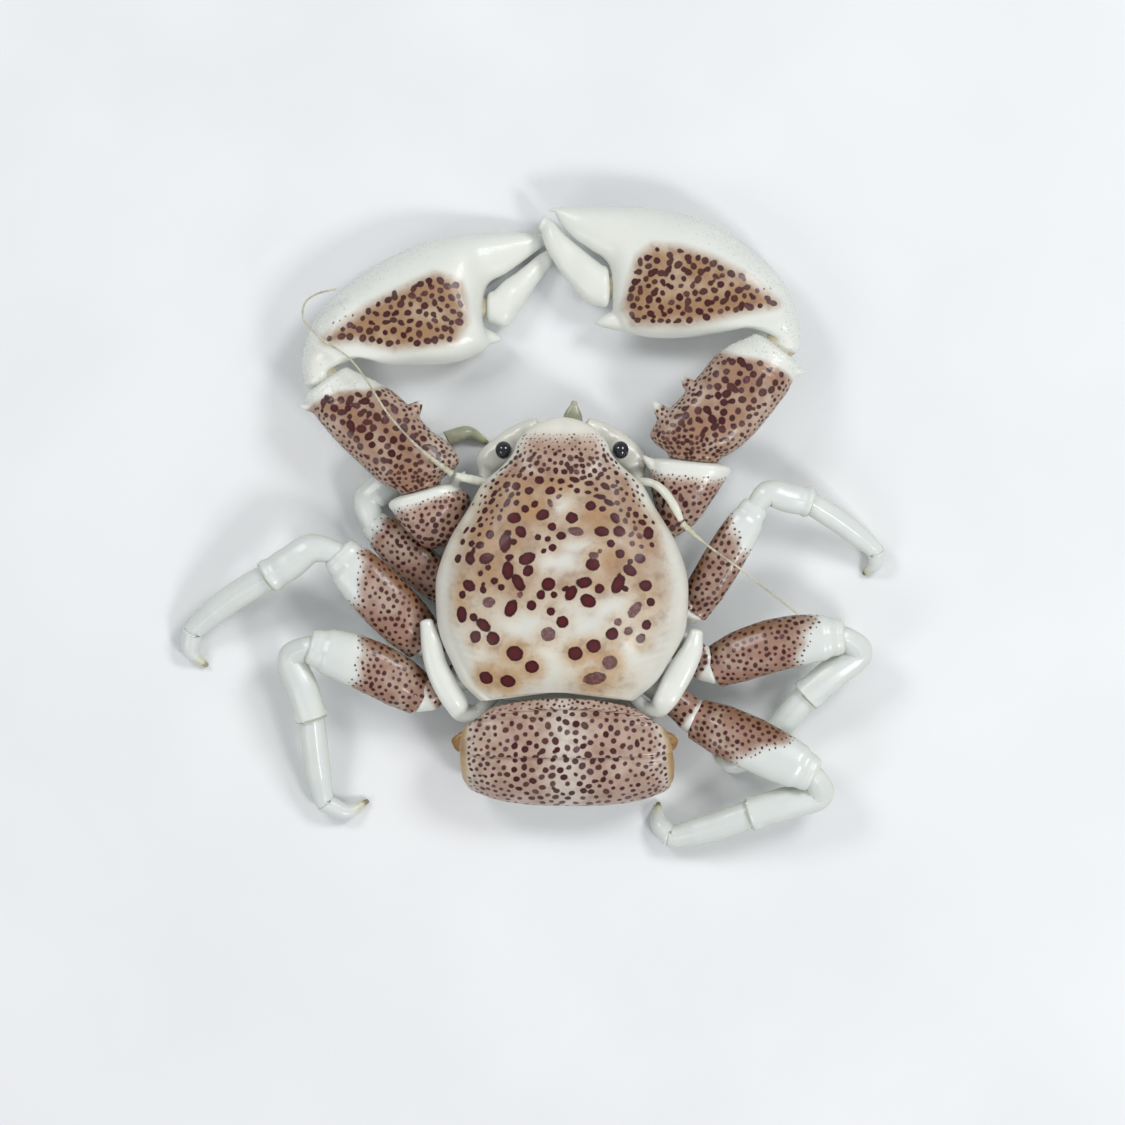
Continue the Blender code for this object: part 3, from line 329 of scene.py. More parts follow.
# Spots that a viewer would know this crab by, on the middle and rear of the shell: x, y and radius, and for a
# long one how much longer than wide it is, and the direction of its length in degrees from the crab's left
# to its tail
SHELL_SPOTS = [
    (3.3, 6.55, 0.54), (2.1, 7.5, 0.46), (5.35, 8.3, 0.46, 0.1, 90), (3.87, 8.56, 0.5), (4.9, 5.53, 0.45),
    (6.07, 5.43, 0.38, 0.2, 60), (5.5, 4.52, 0.36, 0.6, 140), (6.17, 4.02, 0.28),
    (7.07, 3.78, 0.4, 0.35, 90), (-0.98, 6.57, 0.48), (-2.23, 6.1, 0.47), (-3.36, 7.26, 0.5),
    (-2.3, 8.42, 0.5, 0.55, 10), (-3.5, 5.18, 0.42), (-4.72, 4.98, 0.3), (-5.53, 5.52, 0.33),
    (-3.96, 4.4, 0.27), (-6.0, 4.53, 0.34), (-5.15, 3.5, 0.34, 0.9, 50), (0.98, 5.23, 0.47),
    (0.02, 4.37, 0.4), (0.85, 3.6, 0.29), (2.15, 3.16, 0.34), (1.54, 2.44, 0.3), (0.54, 2.5, 0.24),
    (3.55, 3.4, 0.4, 0.5, 65), (5.12, 3.0, 0.36, 0.2, 0), (2.97, 2.45, 0.2), (0.95, 1.68, 0.42, 0.1, 0),
    (-0.7, 2.35, 0.36, 0.5, 60), (-1.9, 2.86, 0.42, 0.3, 150), (-2.67, 2.06, 0.33),
    (-1.63, 1.62, 0.36, 0.5, 10), (-3.95, 1.75, 0.4, 0.7, 60), (-5.87, 1.83, 0.37, 0.3, 0),
    (-6.22, 2.98, 0.3), (-4.8, 0.74, 0.34, 0.5, 150), (-5.53, -0.08, 0.33, 0.3, 0),
    (-2.2, 0.28, 0.42, 0.1, 0), (-2.22, -0.35, 0.26, 0.3, 0), (-4.03, -0.38, 0.31), (-3.4, -1.2, 0.27),
    (-2.77, -2.03, 0.36, 0.4, 0), (-4.1, -2.06, 0.38, 0.1, 0), (-6.15, -1.95, 0.38, 0.4, 60),
    (6.58, 1.76, 0.36, 0.4, 150), (7.08, 2.5, 0.27), (5.57, 2.18, 0.24), (4.8, 1.53, 0.24),
    (4.25, 1.9, 0.22), (3.12, 1.55, 0.36, 0.8, 120), (5.35, -0.13, 0.38, 0.4, 10),
    (3.84, 0.75, 0.38, 0.6, 90), (2.5, -0.06, 0.38, 0.6, 20), (2.35, 0.77, 0.32, 0.3, 60),
    (7.33, -0.14, 0.3), (6.5, -0.06, 0.33, 0.5, 120), (5.8, -1.05, 0.27, 0.2, 0), (5.15, -1.77, 0.3),
    (3.95, -1.3, 0.42, 0.7, 90), (2.85, -2.0, 0.34, 0.4, 120), (1.72, -1.59, 0.22), (1.0, -1.46, 0.2),
    (0.05, -1.74, 0.27, 0.2, 0), (0.7, -2.3, 0.29), (0.62, -0.88, 0.26), (1.25, -0.63, 0.18),
    (1.36, -3.16, 0.38, 0.2, 30), (3.4, -3.03, 0.38, 0.2, 0), (2.55, -3.6, 0.26),
    (-0.67, -3.0, 0.38, 0.1, 0), (-0.95, -2.03, 0.3, 0.7, 170), (-2.03, -3.8, 0.33, 0.1, 0),
    (-3.76, -3.03, 0.3, 0.3, 120), (1.6, -5.64, 0.26, 0.3, 170), (2.34, -4.86, 0.28, 0.1, 0),
    (0.82, -4.93, 0.28, 0.2, 0), (0.07, -5.49, 0.18, 0.6, 0), (0.67, -5.64, 0.16),
    (-0.92, -5.6, 0.19, 0.9, 160), (-0.57, -5.18, 0.13, 0.5, 0), (-0.99, -4.89, 0.19, 0.1, 0),
    (0.07, -4.96, 0.12, 0.2, 0), (-1.91, -5.46, 0.19, 0.8, 0), (-1.88, -4.79, 0.13, 1.2, 0),
    (-3.05, -5.21, 0.22, 0.6, 150), (-2.41, -5, 0.13, 0.2, 0), (-2.69, -4.47, 0.18, 1.3, 175),
    (-3.33, -4.01, 0.2, 0.9, 155), (-2.84, -3.62, 0.21, 0.1, 0), (-3.9, -4.08, 0.18),
    (0.85, -4.04, 0.16, 1.1, 110), (0.28, -4.47, 0.14, 0.6, 40), (3.9, -5.32, 0.23, 0.3, 20),
    (3.19, -5.18, 0.28, 0.1, 90), (4.57, -5.42, 0.16, 0.1, 0), (5.03, -5.07, 0.13), (3.12, -4.71, 0.16),
    (3.9, -4.86, 0.15, 0.2, 0), (4.82, -4.68, 0.17, 0.9, 40), (3.83, -4.08, 0.2, 0.7, 50),
    (3.55, -4.54, 0.16, 0.5, 60), (3.19, -4.01, 0.22), (1.88, -3.9, 0.22, 0.1, 60),
    (4.96, -4.18, 0.17, 0.8, 40), (5.39, -4.43, 0.12, 0.2, 0), (5.46, -3.47, 0.21, 0.1, 0),
    (5.88, -3.37, 0.12), (5.81, -2.87, 0.16, 0.7, 50), (5.74, -2.45, 0.18, 0.1, 0), (6.24, -3.93, 0.11),
    (6.84, -2.09, 0.19, 0.8, 30), (6.31, -2.13, 0.18, 0.4, 20), (7.05, -1.31, 0.22), (6.45, -1.21, 0.23),
    (6.27, -0.64, 0.16, 1, 80), (3.83, -1.88, 0.23, 0.2, 0), (3.37, -1.24, 0.21, 0.1, 0),
    (3.69, -0.25, 0.21, 0.4, 0), (5.14, 0.57, 0.21), (5.71, 0.96, 0.19), (5.57, 1.67, 0.14),
    (-5.21, -3.23, 0.23), (-5.88, -3.08, 0.16, 0.1, 0), (-5.67, -2.66, 0.23, 0.4, 0),
    (-6.42, -2.62, 0.16), (-5.46, -1.67, 0.21), (-5.03, -1.13, 0.2), (-5.6, -0.99, 0.16),
    (-6.35, -1.03, 0.19), (-4.79, 0.11, 0.2), (-4.01, 1.13, 0.21, 0.3, 90), (-4.43, 1.99, 0.2, 0.2, 150),
    (-2.69, -0.64, 0.16), (-4.54, -4.64, 0.15), (-0.18, 2.02, 0.18, 0.5, 20), (-3.83, -6.13, 0.18),
    (-3.26, -5.88, 0.16), (-2.27, -6.31, 0.18, 0.1, 0), (-1.99, -5.92, 0.16, 0.3, 0),
    (-0.14, -6.13, 0.18, 0.2, 0), (0.43, -6.24, 0.18, 0.4, 100), (2.13, -6.1, 0.16, 0.1, 90),
    (2.62, -5.78, 0.15, 0.2, 0), (3.44, -5.92, 0.13), (4.29, -6.1, 0.14), (2.77, -6.38, 0.16, 0.9, 40),
    (-3.97, -5.57, 0.15),
]
# Spots drawn fainter and streaked with pale purple: partly painted highlight of the sheen on the shell's rear
# right, partly the spots' own paler tone
FAINT_AND_SHEENED_SPOTS = (11, 12, 14, 16, 18, 19, 26, 27, 39, 71, 91, 92, 126, 133)  # their places in that table
FAINT_AND_SHEENED_STRENGTH = 0.85

# Fine spots on the front of the shell: how far back, radius, spacing
FRONT_SPOTS = [
    (-8.9, 0.045, 0.24), (-8.3, 0.06, 0.28), (-7.8, 0.1, 0.33), (-7.3, 0.17, 0.38), (-6.6, 0.18, 0.4),
    (-5.6, 0.17, 0.41), (-3.0, 0.17, 0.45),
]

# Ground colour on the shell: warm patches and bare patches of bluish white, three of which lie on the dimples
# and there stand for painted shade; each x, y, radius along x and y, strength
WARM_PATCHES = [
    (4.3, 8.1, 2.2, 1.2, 0.8), (3.0, 6.7, 1.5, 1.1, 0.5), (-1.9, 6.5, 2.0, 1.1, 0.5),
    (-2.6, 8.5, 2.1, 1.1, 0.8), (7.2, 2.6, 0.8, 1.4, 1.0), (1.9, -3.5, 1.0, 1.0, 1.0),
    (3.2, -4.4, 2.0, 1.6, 0.5), (-1.8, -2.9, 2.0, 0.9, 0.7), (-3.2, -0.2, 1.4, 1.4, 0.6),
    (-2.5, 1.5, 1.2, 0.9, 0.5), (5.0, -1.4, 2.2, 1.6, 0.5), (4.2, 0.6, 1.8, 1.5, 0.5),
    (0.6, -5.4, 2.4, 0.9, 0.5), (6.0, 1.6, 1.0, 1.0, 0.4), (-5.8, 2.4, 1.0, 1.3, 0.4),
]
BARE_AND_DIMPLE_SHADE_PATCHES = [
    (0.2, 0.0, 2.3, 0.9, 1.0), (-1.0, -1.0, 2.0, 0.7, 0.9), (0.1, -3.9, 0.8, 1.0, 1.0),
    (-2.6, 3.3, 2.6, 1.1, 0.9), (0.0, 8.0, 1.6, 3.0, 1.0), (2.4, 4.6, 2.4, 1.1, 0.8),
    (-1.9, 4.6, 2.0, 1.2, 0.8), (6.4, 6.6, 1.8, 1.6, 0.9), (-6.0, 7.0, 1.8, 1.8, 0.7),
    (0.2, 4.6, 1.8, 1.6, 0.7), (0.4, -2.9, 0.8, 0.8, 0.5), (1.4, -1.6, 1.2, 0.8, 0.5),
]
# Dimples on the shell: x, y, radius, depth
DIMPLES = [(3.1, 4.7, 0.75, 0.5), (-1.95, 4.6, 0.75, 0.5), (0.4, -0.3, 0.5, 0.35)]

# Outline of the spotted patch on each palm, seen from above
PALM_PATCH = {
    "left": [
        (16.8, -15.6), (13.6, -17.9), (10.8, -19.3), (9.1, -20.1), (7.3, -19.6), (7.0, -17.0), (7.7, -15.7),
        (11.9, -15.2), (14.5, -15.8),
    ],
    "right": [
        (-6.5, -22.1), (-8.3, -22.0), (-10.5, -21.3), (-12.7, -20.2), (-15.1, -18.2), (-12.8, -17.8),
        (-10.8, -17.3), (-8.2, -16.9), (-5.2, -17.0), (-4.6, -17.9), (-5.0, -19.7), (-5.6, -21.4),
    ],
}

# Shell finish, as red, green and blue from 0 to 255
WHITE = (216, 219, 212)
SHELL_WHITE = (211, 210, 200)
COOL_WHITE = (208, 214, 212)
LEG_WHITE = (207, 212, 209)
IVORY = (212, 213, 199)
MAUVE = (148, 112, 95)
PINK_CREAM = (160, 128, 112)
TAN = (146, 116, 93)
ORANGE = (171, 130, 83)
OCHRE_EDGE = (124, 90, 62)
# Yellow-green: painted shade on the sides of the legs, and the own tint of a walking leg's claw towards its
# tip
GREEN_TINT_AND_SIDE_SHADE = (192, 192, 146)
MAROON = (54, 5, 12)
RED_MAROON = (80, 12, 20)
PINK_BROWN = (160, 126, 108)
WRIST_TAN = (144, 106, 82)
# Pale purple streaks in the fainter spots: partly their own mottling, partly painted highlight
SPOT_PURPLE_AND_SHEEN = (98, 54, 78)
GREY_HORN = (150, 154, 128)
PATCH_TAN = (150, 114, 80)
MEMBRANE = (200, 192, 168)
FLESH = (168, 130, 72)
TAIL_SIDE = (158, 120, 64)
EYE_BLACK = (12, 14, 22)
CLAW_TIP = (100, 92, 56)
CLOUD = (228, 226, 212)  # pale clouds over the whole ground
# Mottling of the coloured ground: waves to the millimetre, where it starts, strength, colour
MOTTLING = ((1.1, 0.46, 0.4, (126, 98, 76)), (4.0, 0.5, 0.2, (96, 74, 62)))
SCATTER_RADIUS = (0.0006, 0.0004, 0.0003)  # how far red, green and blue light spreads in the shell, in metres
PITS_PER_MM = 4.5
# Spotted finishes: name, roughness, grain, pits, how ragged the edges of the spots are, clear coat
SPOTTED_LOOKS = {
    "carapace": ("porcelain carapace", 0.45, 0.004, 0.002, 0.1, 0.1),
    "tail": ("porcelain tail", 0.36, 0.004, 0.002, 0.06, 0.2),
    "leg": ("porcelain leg", 0.34, 0.004, 0.002, 0.03, 0.25),
    "claw": ("porcelain claw", 0.38, 0.008, 0.008, 0.07, 0.2),
    "porcelain": ("plain porcelain", 0.36, 0.004, 0.002, 0.06, 0.35),
    "horn": ("claw horn", 0.34, 0.004, 0.002, 0.06, 0.35),
}
# Plain finishes: name, colour, the colour it clouds over into, roughness, clear coat, translucency, grain
PLAIN_LOOKS = {
    "granule": ("claw granules", WHITE, COOL_WHITE, 0.15, 0.8, 0.0, 0.001),
    "membrane": ("joint skin", MEMBRANE, (178, 166, 136), 0.5, 0.2, 0.1, 0.02),
    "flesh": ("tail flesh", FLESH, (132, 98, 52), 0.4, 0.3, 0.1, 0.02),
    "eye": ("wet eye", EYE_BLACK, (24, 28, 42), 0.12, 1.0, 0.0, 0.001),
    "whip": ("pale whip", (196, 194, 172), (160, 158, 138), 0.4, 0.3, 0.1, 0.004),
}

# The studio: the floor's reach in millimetres and its two greys, the room's even light, and the lamps, each
# with its place and size in millimetres and its power in watts
FLOOR_REACH = 400.0
FLOOR_GREYS = ((222, 224, 226), (227, 229, 230))
ROOM_COLOUR = (0.96, 0.97, 1.0)
ROOM_STRENGTH = 0.4
LAMPS = {
    "lamp over the left claw": ((170.0, -150.0, 240.0), 90.0, 0.26),
    "lamp over the right claw": ((-170.0, -130.0, 240.0), 90.0, 0.38),
    "lamp over the right flank": ((-160.0, 170.0, 220.0), 70.0, 0.34),
    "lamp over the left flank": ((190.0, 140.0, 200.0), 110.0, 0.14),
}

# Seeds of the random draws. Those of left and right are for the claws
SEEDS = {
    "shell": 5, "tail": 20, "thorax": 31, "legs": 40, "left": 60, "right": 70,
    "granule places": 11, "granule sizes": 12,
}
SMALLEST_SPOT = 0.02  # no spot is tried where the radius given is smaller
CANDIDATES = 9000  # places tried for the spots of one piece
FIELD_LIMIT = 1.0  # how far from a spot's edge the distance to it is still told
AT_ONCE = 4000  # points that are worked on at once
UP = np.array([0.0, 0.0, 1.0])


def unit(vectors):
    """Each vector at a length of 1."""
    return vectors / np.maximum(np.linalg.norm(vectors, axis=-1, keepdims=True), 1e-9)


def smooth(low, high, value):
    """0 below low, 1 above high, smooth between them."""
    share = np.clip((value - low) / (high - low), 0.0, 1.0)
    return share * share * (3.0 - 2.0 * share)


def patches(table, x, y):
    """How strongly the patches of a table cover each point."""
    share = np.zeros(len(x))
    for place_x, place_y, across, along, strength in table:
        away = np.hypot((x - place_x) / across, (y - place_y) / along)
        share = np.maximum(share, strength * bell(away, 0.0, 1.0))
    return share


def bell(value, centre, width):
    """1 at the centre, fading to both sides."""
    return np.exp(-(((value - centre) / width) ** 2))


def through(rows, count):
    """Rows spread evenly on a smooth curve through the given rows, which each start with a point."""
    rows = np.array(rows, float)
    steps = np.linalg.norm(np.diff(rows[:, :3], axis=0), axis=1)
    places = np.concatenate([[0.0], np.cumsum(steps)])
    slopes = np.gradient(rows, places, axis=0)
    spread = np.linspace(0.0, places[-1], count)
    left = np.clip(np.searchsorted(places, spread, side="right") - 1, 0, len(places) - 2)
    span = (places[left + 1] - places[left])[:, None]
    f = (spread - places[left])[:, None] / span
    start = (2 * f**3 - 3 * f**2 + 1) * rows[left] + (f**3 - 2 * f**2 + f) * span * slopes[left]
    return start + (3 * f**2 - 2 * f**3) * rows[left + 1] + (f**3 - f**2) * span * slopes[left + 1]


def shares(profile, count):
    """The profile's share at each of the evenly spread places along a segment."""
    table = np.array(profile)
    return np.interp(np.linspace(0.0, 1.0, count), table[:, 0], table[:, 1])


def power(value, squareness):
    """A cosine or sine bent so that the ring it draws is round at 2 and squarer above."""
    return np.sign(value) * np.abs(value) ** (2.0 / squareness)


class Frames:
    """Sections along a piece: centres, vectors to the side, the top and the bottom, and headings."""

    def __init__(self, centre, across, rise, drop, head):
        self.centre, self.across, self.rise, self.drop, self.head = centre, across, rise, drop, head

    def rings(self, sides, squareness, keel=0.0, keel_side=0.0):
        """Rounded rings. A keel raises a line along the top, at its share of the way to the side."""
        angles = (np.arange(sides) + 0.5) * 2.0 * math.pi / sides
        sideways = power(np.cos(angles), squareness)[None, :, None]
        upwards = power(np.sin(angles), squareness)[None, :, None]
        upwards = upwards + np.where(upwards > 0.0, keel * bell(sideways, keel_side, 0.22), 0.0)
        above = np.where(upwards > 0.0, upwards * self.rise[:, None], -upwards * self.drop[:, None])
        return self.centre[:, None] + sideways * self.across[:, None] + above

    def place(self, points):
        """How far along, aside and up on the piece each point lies: 0 to 1, -1 to 1 and -1 to 1."""
        fine = 6
        count = len(self.centre)
        spread = np.linspace(0, count - 1, (count - 1) * fine + 1)
        centre = np.array([np.interp(spread, range(count), self.centre[:, k]) for k in range(3)]).T
        across = np.array([np.interp(spread, range(count), self.across[:, k]) for k in range(3)]).T
        nearest = np.empty(len(points), int)
        for first in range(0, len(points), AT_ONCE):
            some = points[first : first + AT_ONCE, None, :] - centre[None]
            aside = (some * unit(across)[None]).sum(axis=2)
            beyond = (some**2).sum(axis=2) - aside**2
            nearest[first : first + AT_ONCE] = beyond.argmin(axis=1)
        away = points - centre[nearest]
        wide = np.linalg.norm(across[nearest], axis=1)
        aside = (away * unit(across[nearest])).sum(axis=1) / wide
        rise = np.interp(spread, range(count), np.linalg.norm(self.rise, axis=1))[nearest]
        return nearest / (len(centre) - 1), aside, away[:, 2] / rise


def limb_frames(rows, count, facing=(None, None)):
    """Sections of a segment along a path of x, y, z, width and depth."""
    rows = through(rows, count)
    heads = unit(np.gradient(rows[:, :3], axis=0))
    for end, direction in ((0, facing[0]), (-1, facing[1])):
        if direction is not None:
            heads[end] = direction
    across = unit(np.cross(UP, heads)) * rows[:, 3:4] / 2.0
    upwards = unit(np.cross(heads, across)) * rows[:, 4:5] / 2.0
    return Frames(rows[:, :3], across, upwards, -upwards, heads)


def plate_frames(edges, count):
    """Sections of a flattened piece between two edges seen from above."""
    edges = np.array(edges, float)
    outer, inner = edges[:, 0:2], edges[:, 2:4]
    rows = np.hstack([(outer + inner) / 2.0, edges[:, 4:5], (outer - inner) / 2.0, edges[:, 5:7]])
    rows = through(rows, count)
    across = np.hstack([rows[:, 3:5], np.zeros((count, 1))])
    heads = unit(np.gradient(rows[:, :3], axis=0))
    for end in (0, -1):
        square = unit(np.cross(across[end], UP))
        heads[end] = square * np.sign(np.dot(square, heads[end]))
    return Frames(rows[:, :3], across, rows[:, 5:6] * UP, -rows[:, 6:7] * UP, heads)


def rounded(frames, ends, sides, squareness, keel=0.0, keel_side=0.0):
    """A closed surface over the sections, with an end rounded off over each depth, hollow if negative."""
    depths = np.sin(np.linspace(0.0, math.pi / 2.0, 10))[1:-1]
    scales = (1.0 - depths**3) ** (1.0 / 3.0)
    stacks = []
    for end, sign in ((0, -1.0), (-1, 1.0)):
        reach = sign * ends[end] * frames.head[end]
        moved = frames.centre[end] + reach * depths[:, None]
        vectors = [vector[end] * scales[:, None] for vector in (frames.across, frames.rise, frames.drop)]
        cap = Frames(moved, *vectors, None).rings(sides, squareness, keel, keel_side)
        stacks.append(cap[::-1] if end == 0 else cap)
    body = frames.rings(sides, squareness, keel, keel_side)
    tips = [frames.centre[0] - frames.head[0] * ends[0], frames.centre[-1] + frames.head[-1] * ends[1]]
    return closed(np.concatenate([stacks[0], body, stacks[1]]), tips)


def closed(rings, tips):
    """Points and faces of a closed surface through the rings, with a fan to a tip at each end."""
    count, sides = rings.shape[:2]
    points = np.vstack([rings.reshape(-1, 3), tips])
    grid = np.arange(count * sides).reshape(count, sides)
    after = np.roll(grid, -1, axis=1)
    faces = np.stack([grid[:-1], after[:-1], after[1:], grid[1:]], axis=-1).reshape(-1, 4).tolist()
    faces += [(b, a, count * sides) for a, b in zip(grid[0], after[0])]
    faces += [(a, b, count * sides + 1) for a, b in zip(grid[-1], after[-1])]
    centred = points - points.mean(axis=0)
    a, b, c = (centred[[face[k] for face in faces]] for k in range(3))
    if (np.cross(a, b) * c).sum() < 0.0:
        faces = [face[::-1] for face in faces]
    return points, faces


def tooth(root, tip, radius, sides=16):
    """A thorn that narrows to its tip and bends a little upwards."""
    root, tip = np.array(root), np.array(tip)
    spread = np.linspace(0.0, 1.0, 10)[:, None]
    line = root + (tip - root) * spread + UP * 0.12 * np.sin(spread * math.pi)
    width = 2.0 * (radius * (1.0 - spread) ** 0.75 + 0.07)
    return rounded(limb_frames(np.hstack([line, width, width]), 10), (0.1, 0.06), sides, 2.0)


def placed(name, data):
    """A new object in the scene."""
    made = bpy.data.objects.new(name, data)
    bpy.context.scene.collection.objects.link(made)
    return made


def object_of(name, parts):
    """One mesh object in millimetres from surfaces of points and faces."""
    points, faces = [], []
    for some_points, some_faces in parts:
        shift = sum(len(array) for array in points)
        faces += [[corner + shift for corner in face] for face in some_faces]
        points.append(some_points)
    data = bpy.data.meshes.new(name)
    data.from_pydata(np.vstack(points).tolist(), [], faces)
    return placed(name, data)


def mesh_of(made):
    """A new mesh of an object with its modifiers applied."""
    graph = bpy.context.evaluated_depsgraph_get()
    return bpy.data.meshes.new_from_object(made.evaluated_get(graph))


def evaluated(made):
    """Applies an object's modifiers."""
    data = mesh_of(made)
    made.modifiers.clear()
    made.data = data


def grown_together(name, parts, voxel, softness):
    """Overlapping closed surfaces as one smooth closed surface."""
    made = object_of(name, parts)
    remesh = made.modifiers.new("remesh", "REMESH")
    remesh.mode = "VOXEL"
    remesh.voxel_size = voxel
    relax = made.modifiers.new("relax", "SMOOTH")
    relax.factor = 0.5
    relax.iterations = softness
    evaluated(made)
    return made


def points_of(made):
    """The places of an object's points."""
    points = np.empty(len(made.data.vertices) * 3, np.float32)
    made.data.vertices.foreach_get("co", points)
    return points.reshape(-1, 3).astype(float)


def normals_of(made):
    """The directions that an object's points face."""
    normals = np.empty(len(made.data.vertices) * 3, np.float32)
    made.data.vertex_normals.foreach_get("vector", normals)
    return normals.reshape(-1, 3).astype(float)


def side_shade_of(normals):
    """The share of each point that lies on a side of its piece, between its top and its underside, where
    painted shade goes.
    """
    return smooth(0.65, 0.0, normals[:, 2]) * smooth(-0.8, -0.2, normals[:, 2])


def raised(made, relief=0.0):
    """Moves each point along its normal by its relief, and keeps all of them above the floor."""
    points = points_of(made) + normals_of(made) * np.reshape(relief, (-1, 1))
    points[:, 2] = np.maximum(points[:, 2], 0.0)
    made.data.vertices.foreach_set("co", points.astype(np.float32).ravel())
    made.data.update()


def tell(made, name, values):
    """Keeps a number for each point, for the finish to read."""
    made.data.attributes.new(name, "FLOAT", "POINT").data.foreach_set("value", values.astype(np.float32))


def strewn(points, normals, radius, spacing, seed, pairs=0.3, taken=()):
    """Spots on the points, with none where the radius is 0.

    Each has a centre, a radius, a lengthening, the direction of that, and a strength.
    """
    random = np.random.default_rng(seed)
    tried = random.permutation(np.flatnonzero(radius > SMALLEST_SPOT))[:CANDIDATES]
    centres, gaps = np.zeros((len(tried) + len(taken), 3)), np.zeros(len(tried) + len(taken))
    count = len(taken)
    for place, spot in enumerate(taken):
        centres[place] = spot[:3]
        gaps[place] = spot[3] * 3.0
    kept = []
    for index in tried:
        away = ((centres[:count] - points[index]) ** 2).sum(axis=1)
        if count and (away < (0.5 * (gaps[:count] + spacing[index])) ** 2).any():
            continue
        centres[count], gaps[count] = points[index], spacing[index]
        count += 1
        kept.append(index)
    spots = list(taken)
    for index in kept:
        size = radius[index] * random.uniform(0.78, 1.25)
        turn = unit(np.cross(normals[index], random.normal(size=3)))
        strength = random.uniform(0.88, 1.0)
        spots.append((*points[index], size, random.uniform(0.0, 0.3), *turn, strength))
        if random.random() < pairs:
            aside = points[index] + turn * size * random.uniform(0.9, 1.3)
            spots.append((*aside, size * random.uniform(0.55, 0.85), 0.2, *turn, strength))
    return spots


def tell_spots(made, points, spots):
    """Keeps for each point how far it is from the nearest spot's edge, and how strong that spot is."""
    edge = np.full(len(points), FIELD_LIMIT)
    strength = np.ones(len(points))
    if spots:
        table = np.array(spots)
        for first in range(0, len(points), AT_ONCE):
            away = points[first : first + AT_ONCE, None, :] - table[None, :, 0:3]
            along = (away * table[None, :, 5:8]).sum(axis=2)
            stretch = 1.0 - 1.0 / (1.0 + table[:, 4]) ** 2
            distance = np.sqrt(np.maximum((away**2).sum(axis=2) - stretch * along**2, 0.0)) - table[:, 3]
            edge[first : first + AT_ONCE] = distance.min(axis=1)
            strength[first : first + AT_ONCE] = table[distance.argmin(axis=1), 8]
    tell(made, "spot_edge", np.minimum(edge, FIELD_LIMIT))
    tell(made, "spot_strength", strength)


def unspotted(made, ground):
    """The ground alone."""
    tell_ground(made, ground)
    tell_spots(made, points_of(made), [])


def finished(made, nodes, look):
    """Sets a piece down in metres in the part's frame, in place of its nodes."""
    made.data.transform(Matrix.Translation((MIDDLE[0] * MM, MIDDLE[1] * MM, 0.0)) @ Matrix.Scale(MM, 4))
    made.data.shade_smooth()
    made.data.materials.clear()
    made.data.materials.append(look)
    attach(made, "root")
    if nodes:
        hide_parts(*nodes)


def front_lobe(x, y):
    """How far each point is from the middle of the shell's front lobe, as a share of the lobe's size."""
    return np.hypot(x / LOBE_REACH[0], (y - LOBE_MIDDLE) / LOBE_REACH[1])


def make_shell():
    """The carapace: a smooth dome over a thin raised edge, with grooves, dimples and a notched rear edge."""
    rows = through([(y, 0.0, 0.0, half, top, edge, under) for y, half, top, edge, under in SHELL], 190)
    angles = np.linspace(0.0, 2.0 * math.pi, 1200, endpoint=False)
    sideways = power(np.cos(angles), 2.5)
    height = power(np.sin(angles), 2.3)
    rings = []
    for y, _, _, half, top, edge, under in rows:
        notch = REAR_NOTCH * max(0.0, (y - 7.0) / 3.1) ** 2
        lengthwise = y - notch * (1.0 - sideways**2)
        upwards = np.where(height > 0.0, edge + (top - edge) * height, edge + (edge - under) * height)
        lean = LEAN * max(0.0, y - LEAN_FROM)
        rings.append(evened(np.column_stack([half * sideways + lean, lengthwise, upwards]), 300))
    front = (0.0, SHELL[0][0] - 0.1, SHELL[0][3])
    rear = (lean, SHELL[-1][0] - REAR_NOTCH, (SHELL[-1][2] + SHELL[-1][4]) / 2.0)
    made = object_of("carapace_shell", [closed(np.array(rings), (front, rear))])
    points, normals = points_of(made), normals_of(made)
    x, y = points[:, 0], points[:, 1]
    half = np.interp(y, [row[0] for row in SHELL], [row[1] for row in SHELL])
    aside = np.abs(x) / np.maximum(half, 0.3)
    above = smooth(0.0, 0.4, normals[:, 2])

    # The raised edge and the groove inside it
    relief = 0.07 * bell(aside, 0.985, 0.035) * smooth(-7.0, -4.0, y)
    relief -= above * 0.05 * bell(aside, 0.93, 0.035) * smooth(-5.0, -2.0, y)
    # The grooves across the front and beside the middle
    relief -= above * 0.1 * bell(y, -3.7 + 0.1 * x**2, 0.5) * bell(np.abs(x), 2.6, 1.9)
    relief -= above * 0.08 * bell(np.abs(x), 3.0 + 0.35 * y, 0.6) * bell(y, -0.6, 2.4)
    # The swollen front lobe with the furrow down its middle
    relief += above * 0.17 * smooth(1.1, 0.86, front_lobe(x, y))
    relief -= above * 0.16 * bell(x, 0.0, 0.55) * smooth(-7.2, -9.6, y)
    for place_x, place_y, radius, depth in DIMPLES:
        relief -= above * 0.22 * depth * bell(np.hypot(x - place_x, y - place_y), 0.0, radius)
    # Fine wrinkles along the flanks
    wrinkled = bell(aside, 0.84, 0.1) * smooth(-2.5, 0.5, y) * smooth(8.5, 6.5, y)
    relief += above * wrinkled * 0.018 * np.sin(y * 11.0 + np.abs(x) * 3.0)
    raised(made, relief)
    paint_shell(made, x, y, aside, above)
    finished(made, ["carapace"], LOOK["carapace"])


def evened(ring, count):
    """The ring's points, spread evenly around it."""
    loop = np.vstack([ring, ring[:1]])
    places = np.concatenate([[0.0], np.cumsum(np.linalg.norm(np.diff(loop, axis=0), axis=1))])
    spread = np.linspace(0.0, places[-1], count, endpoint=False)
    return np.array([np.interp(spread, places, loop[:, k]) for k in range(3)]).T


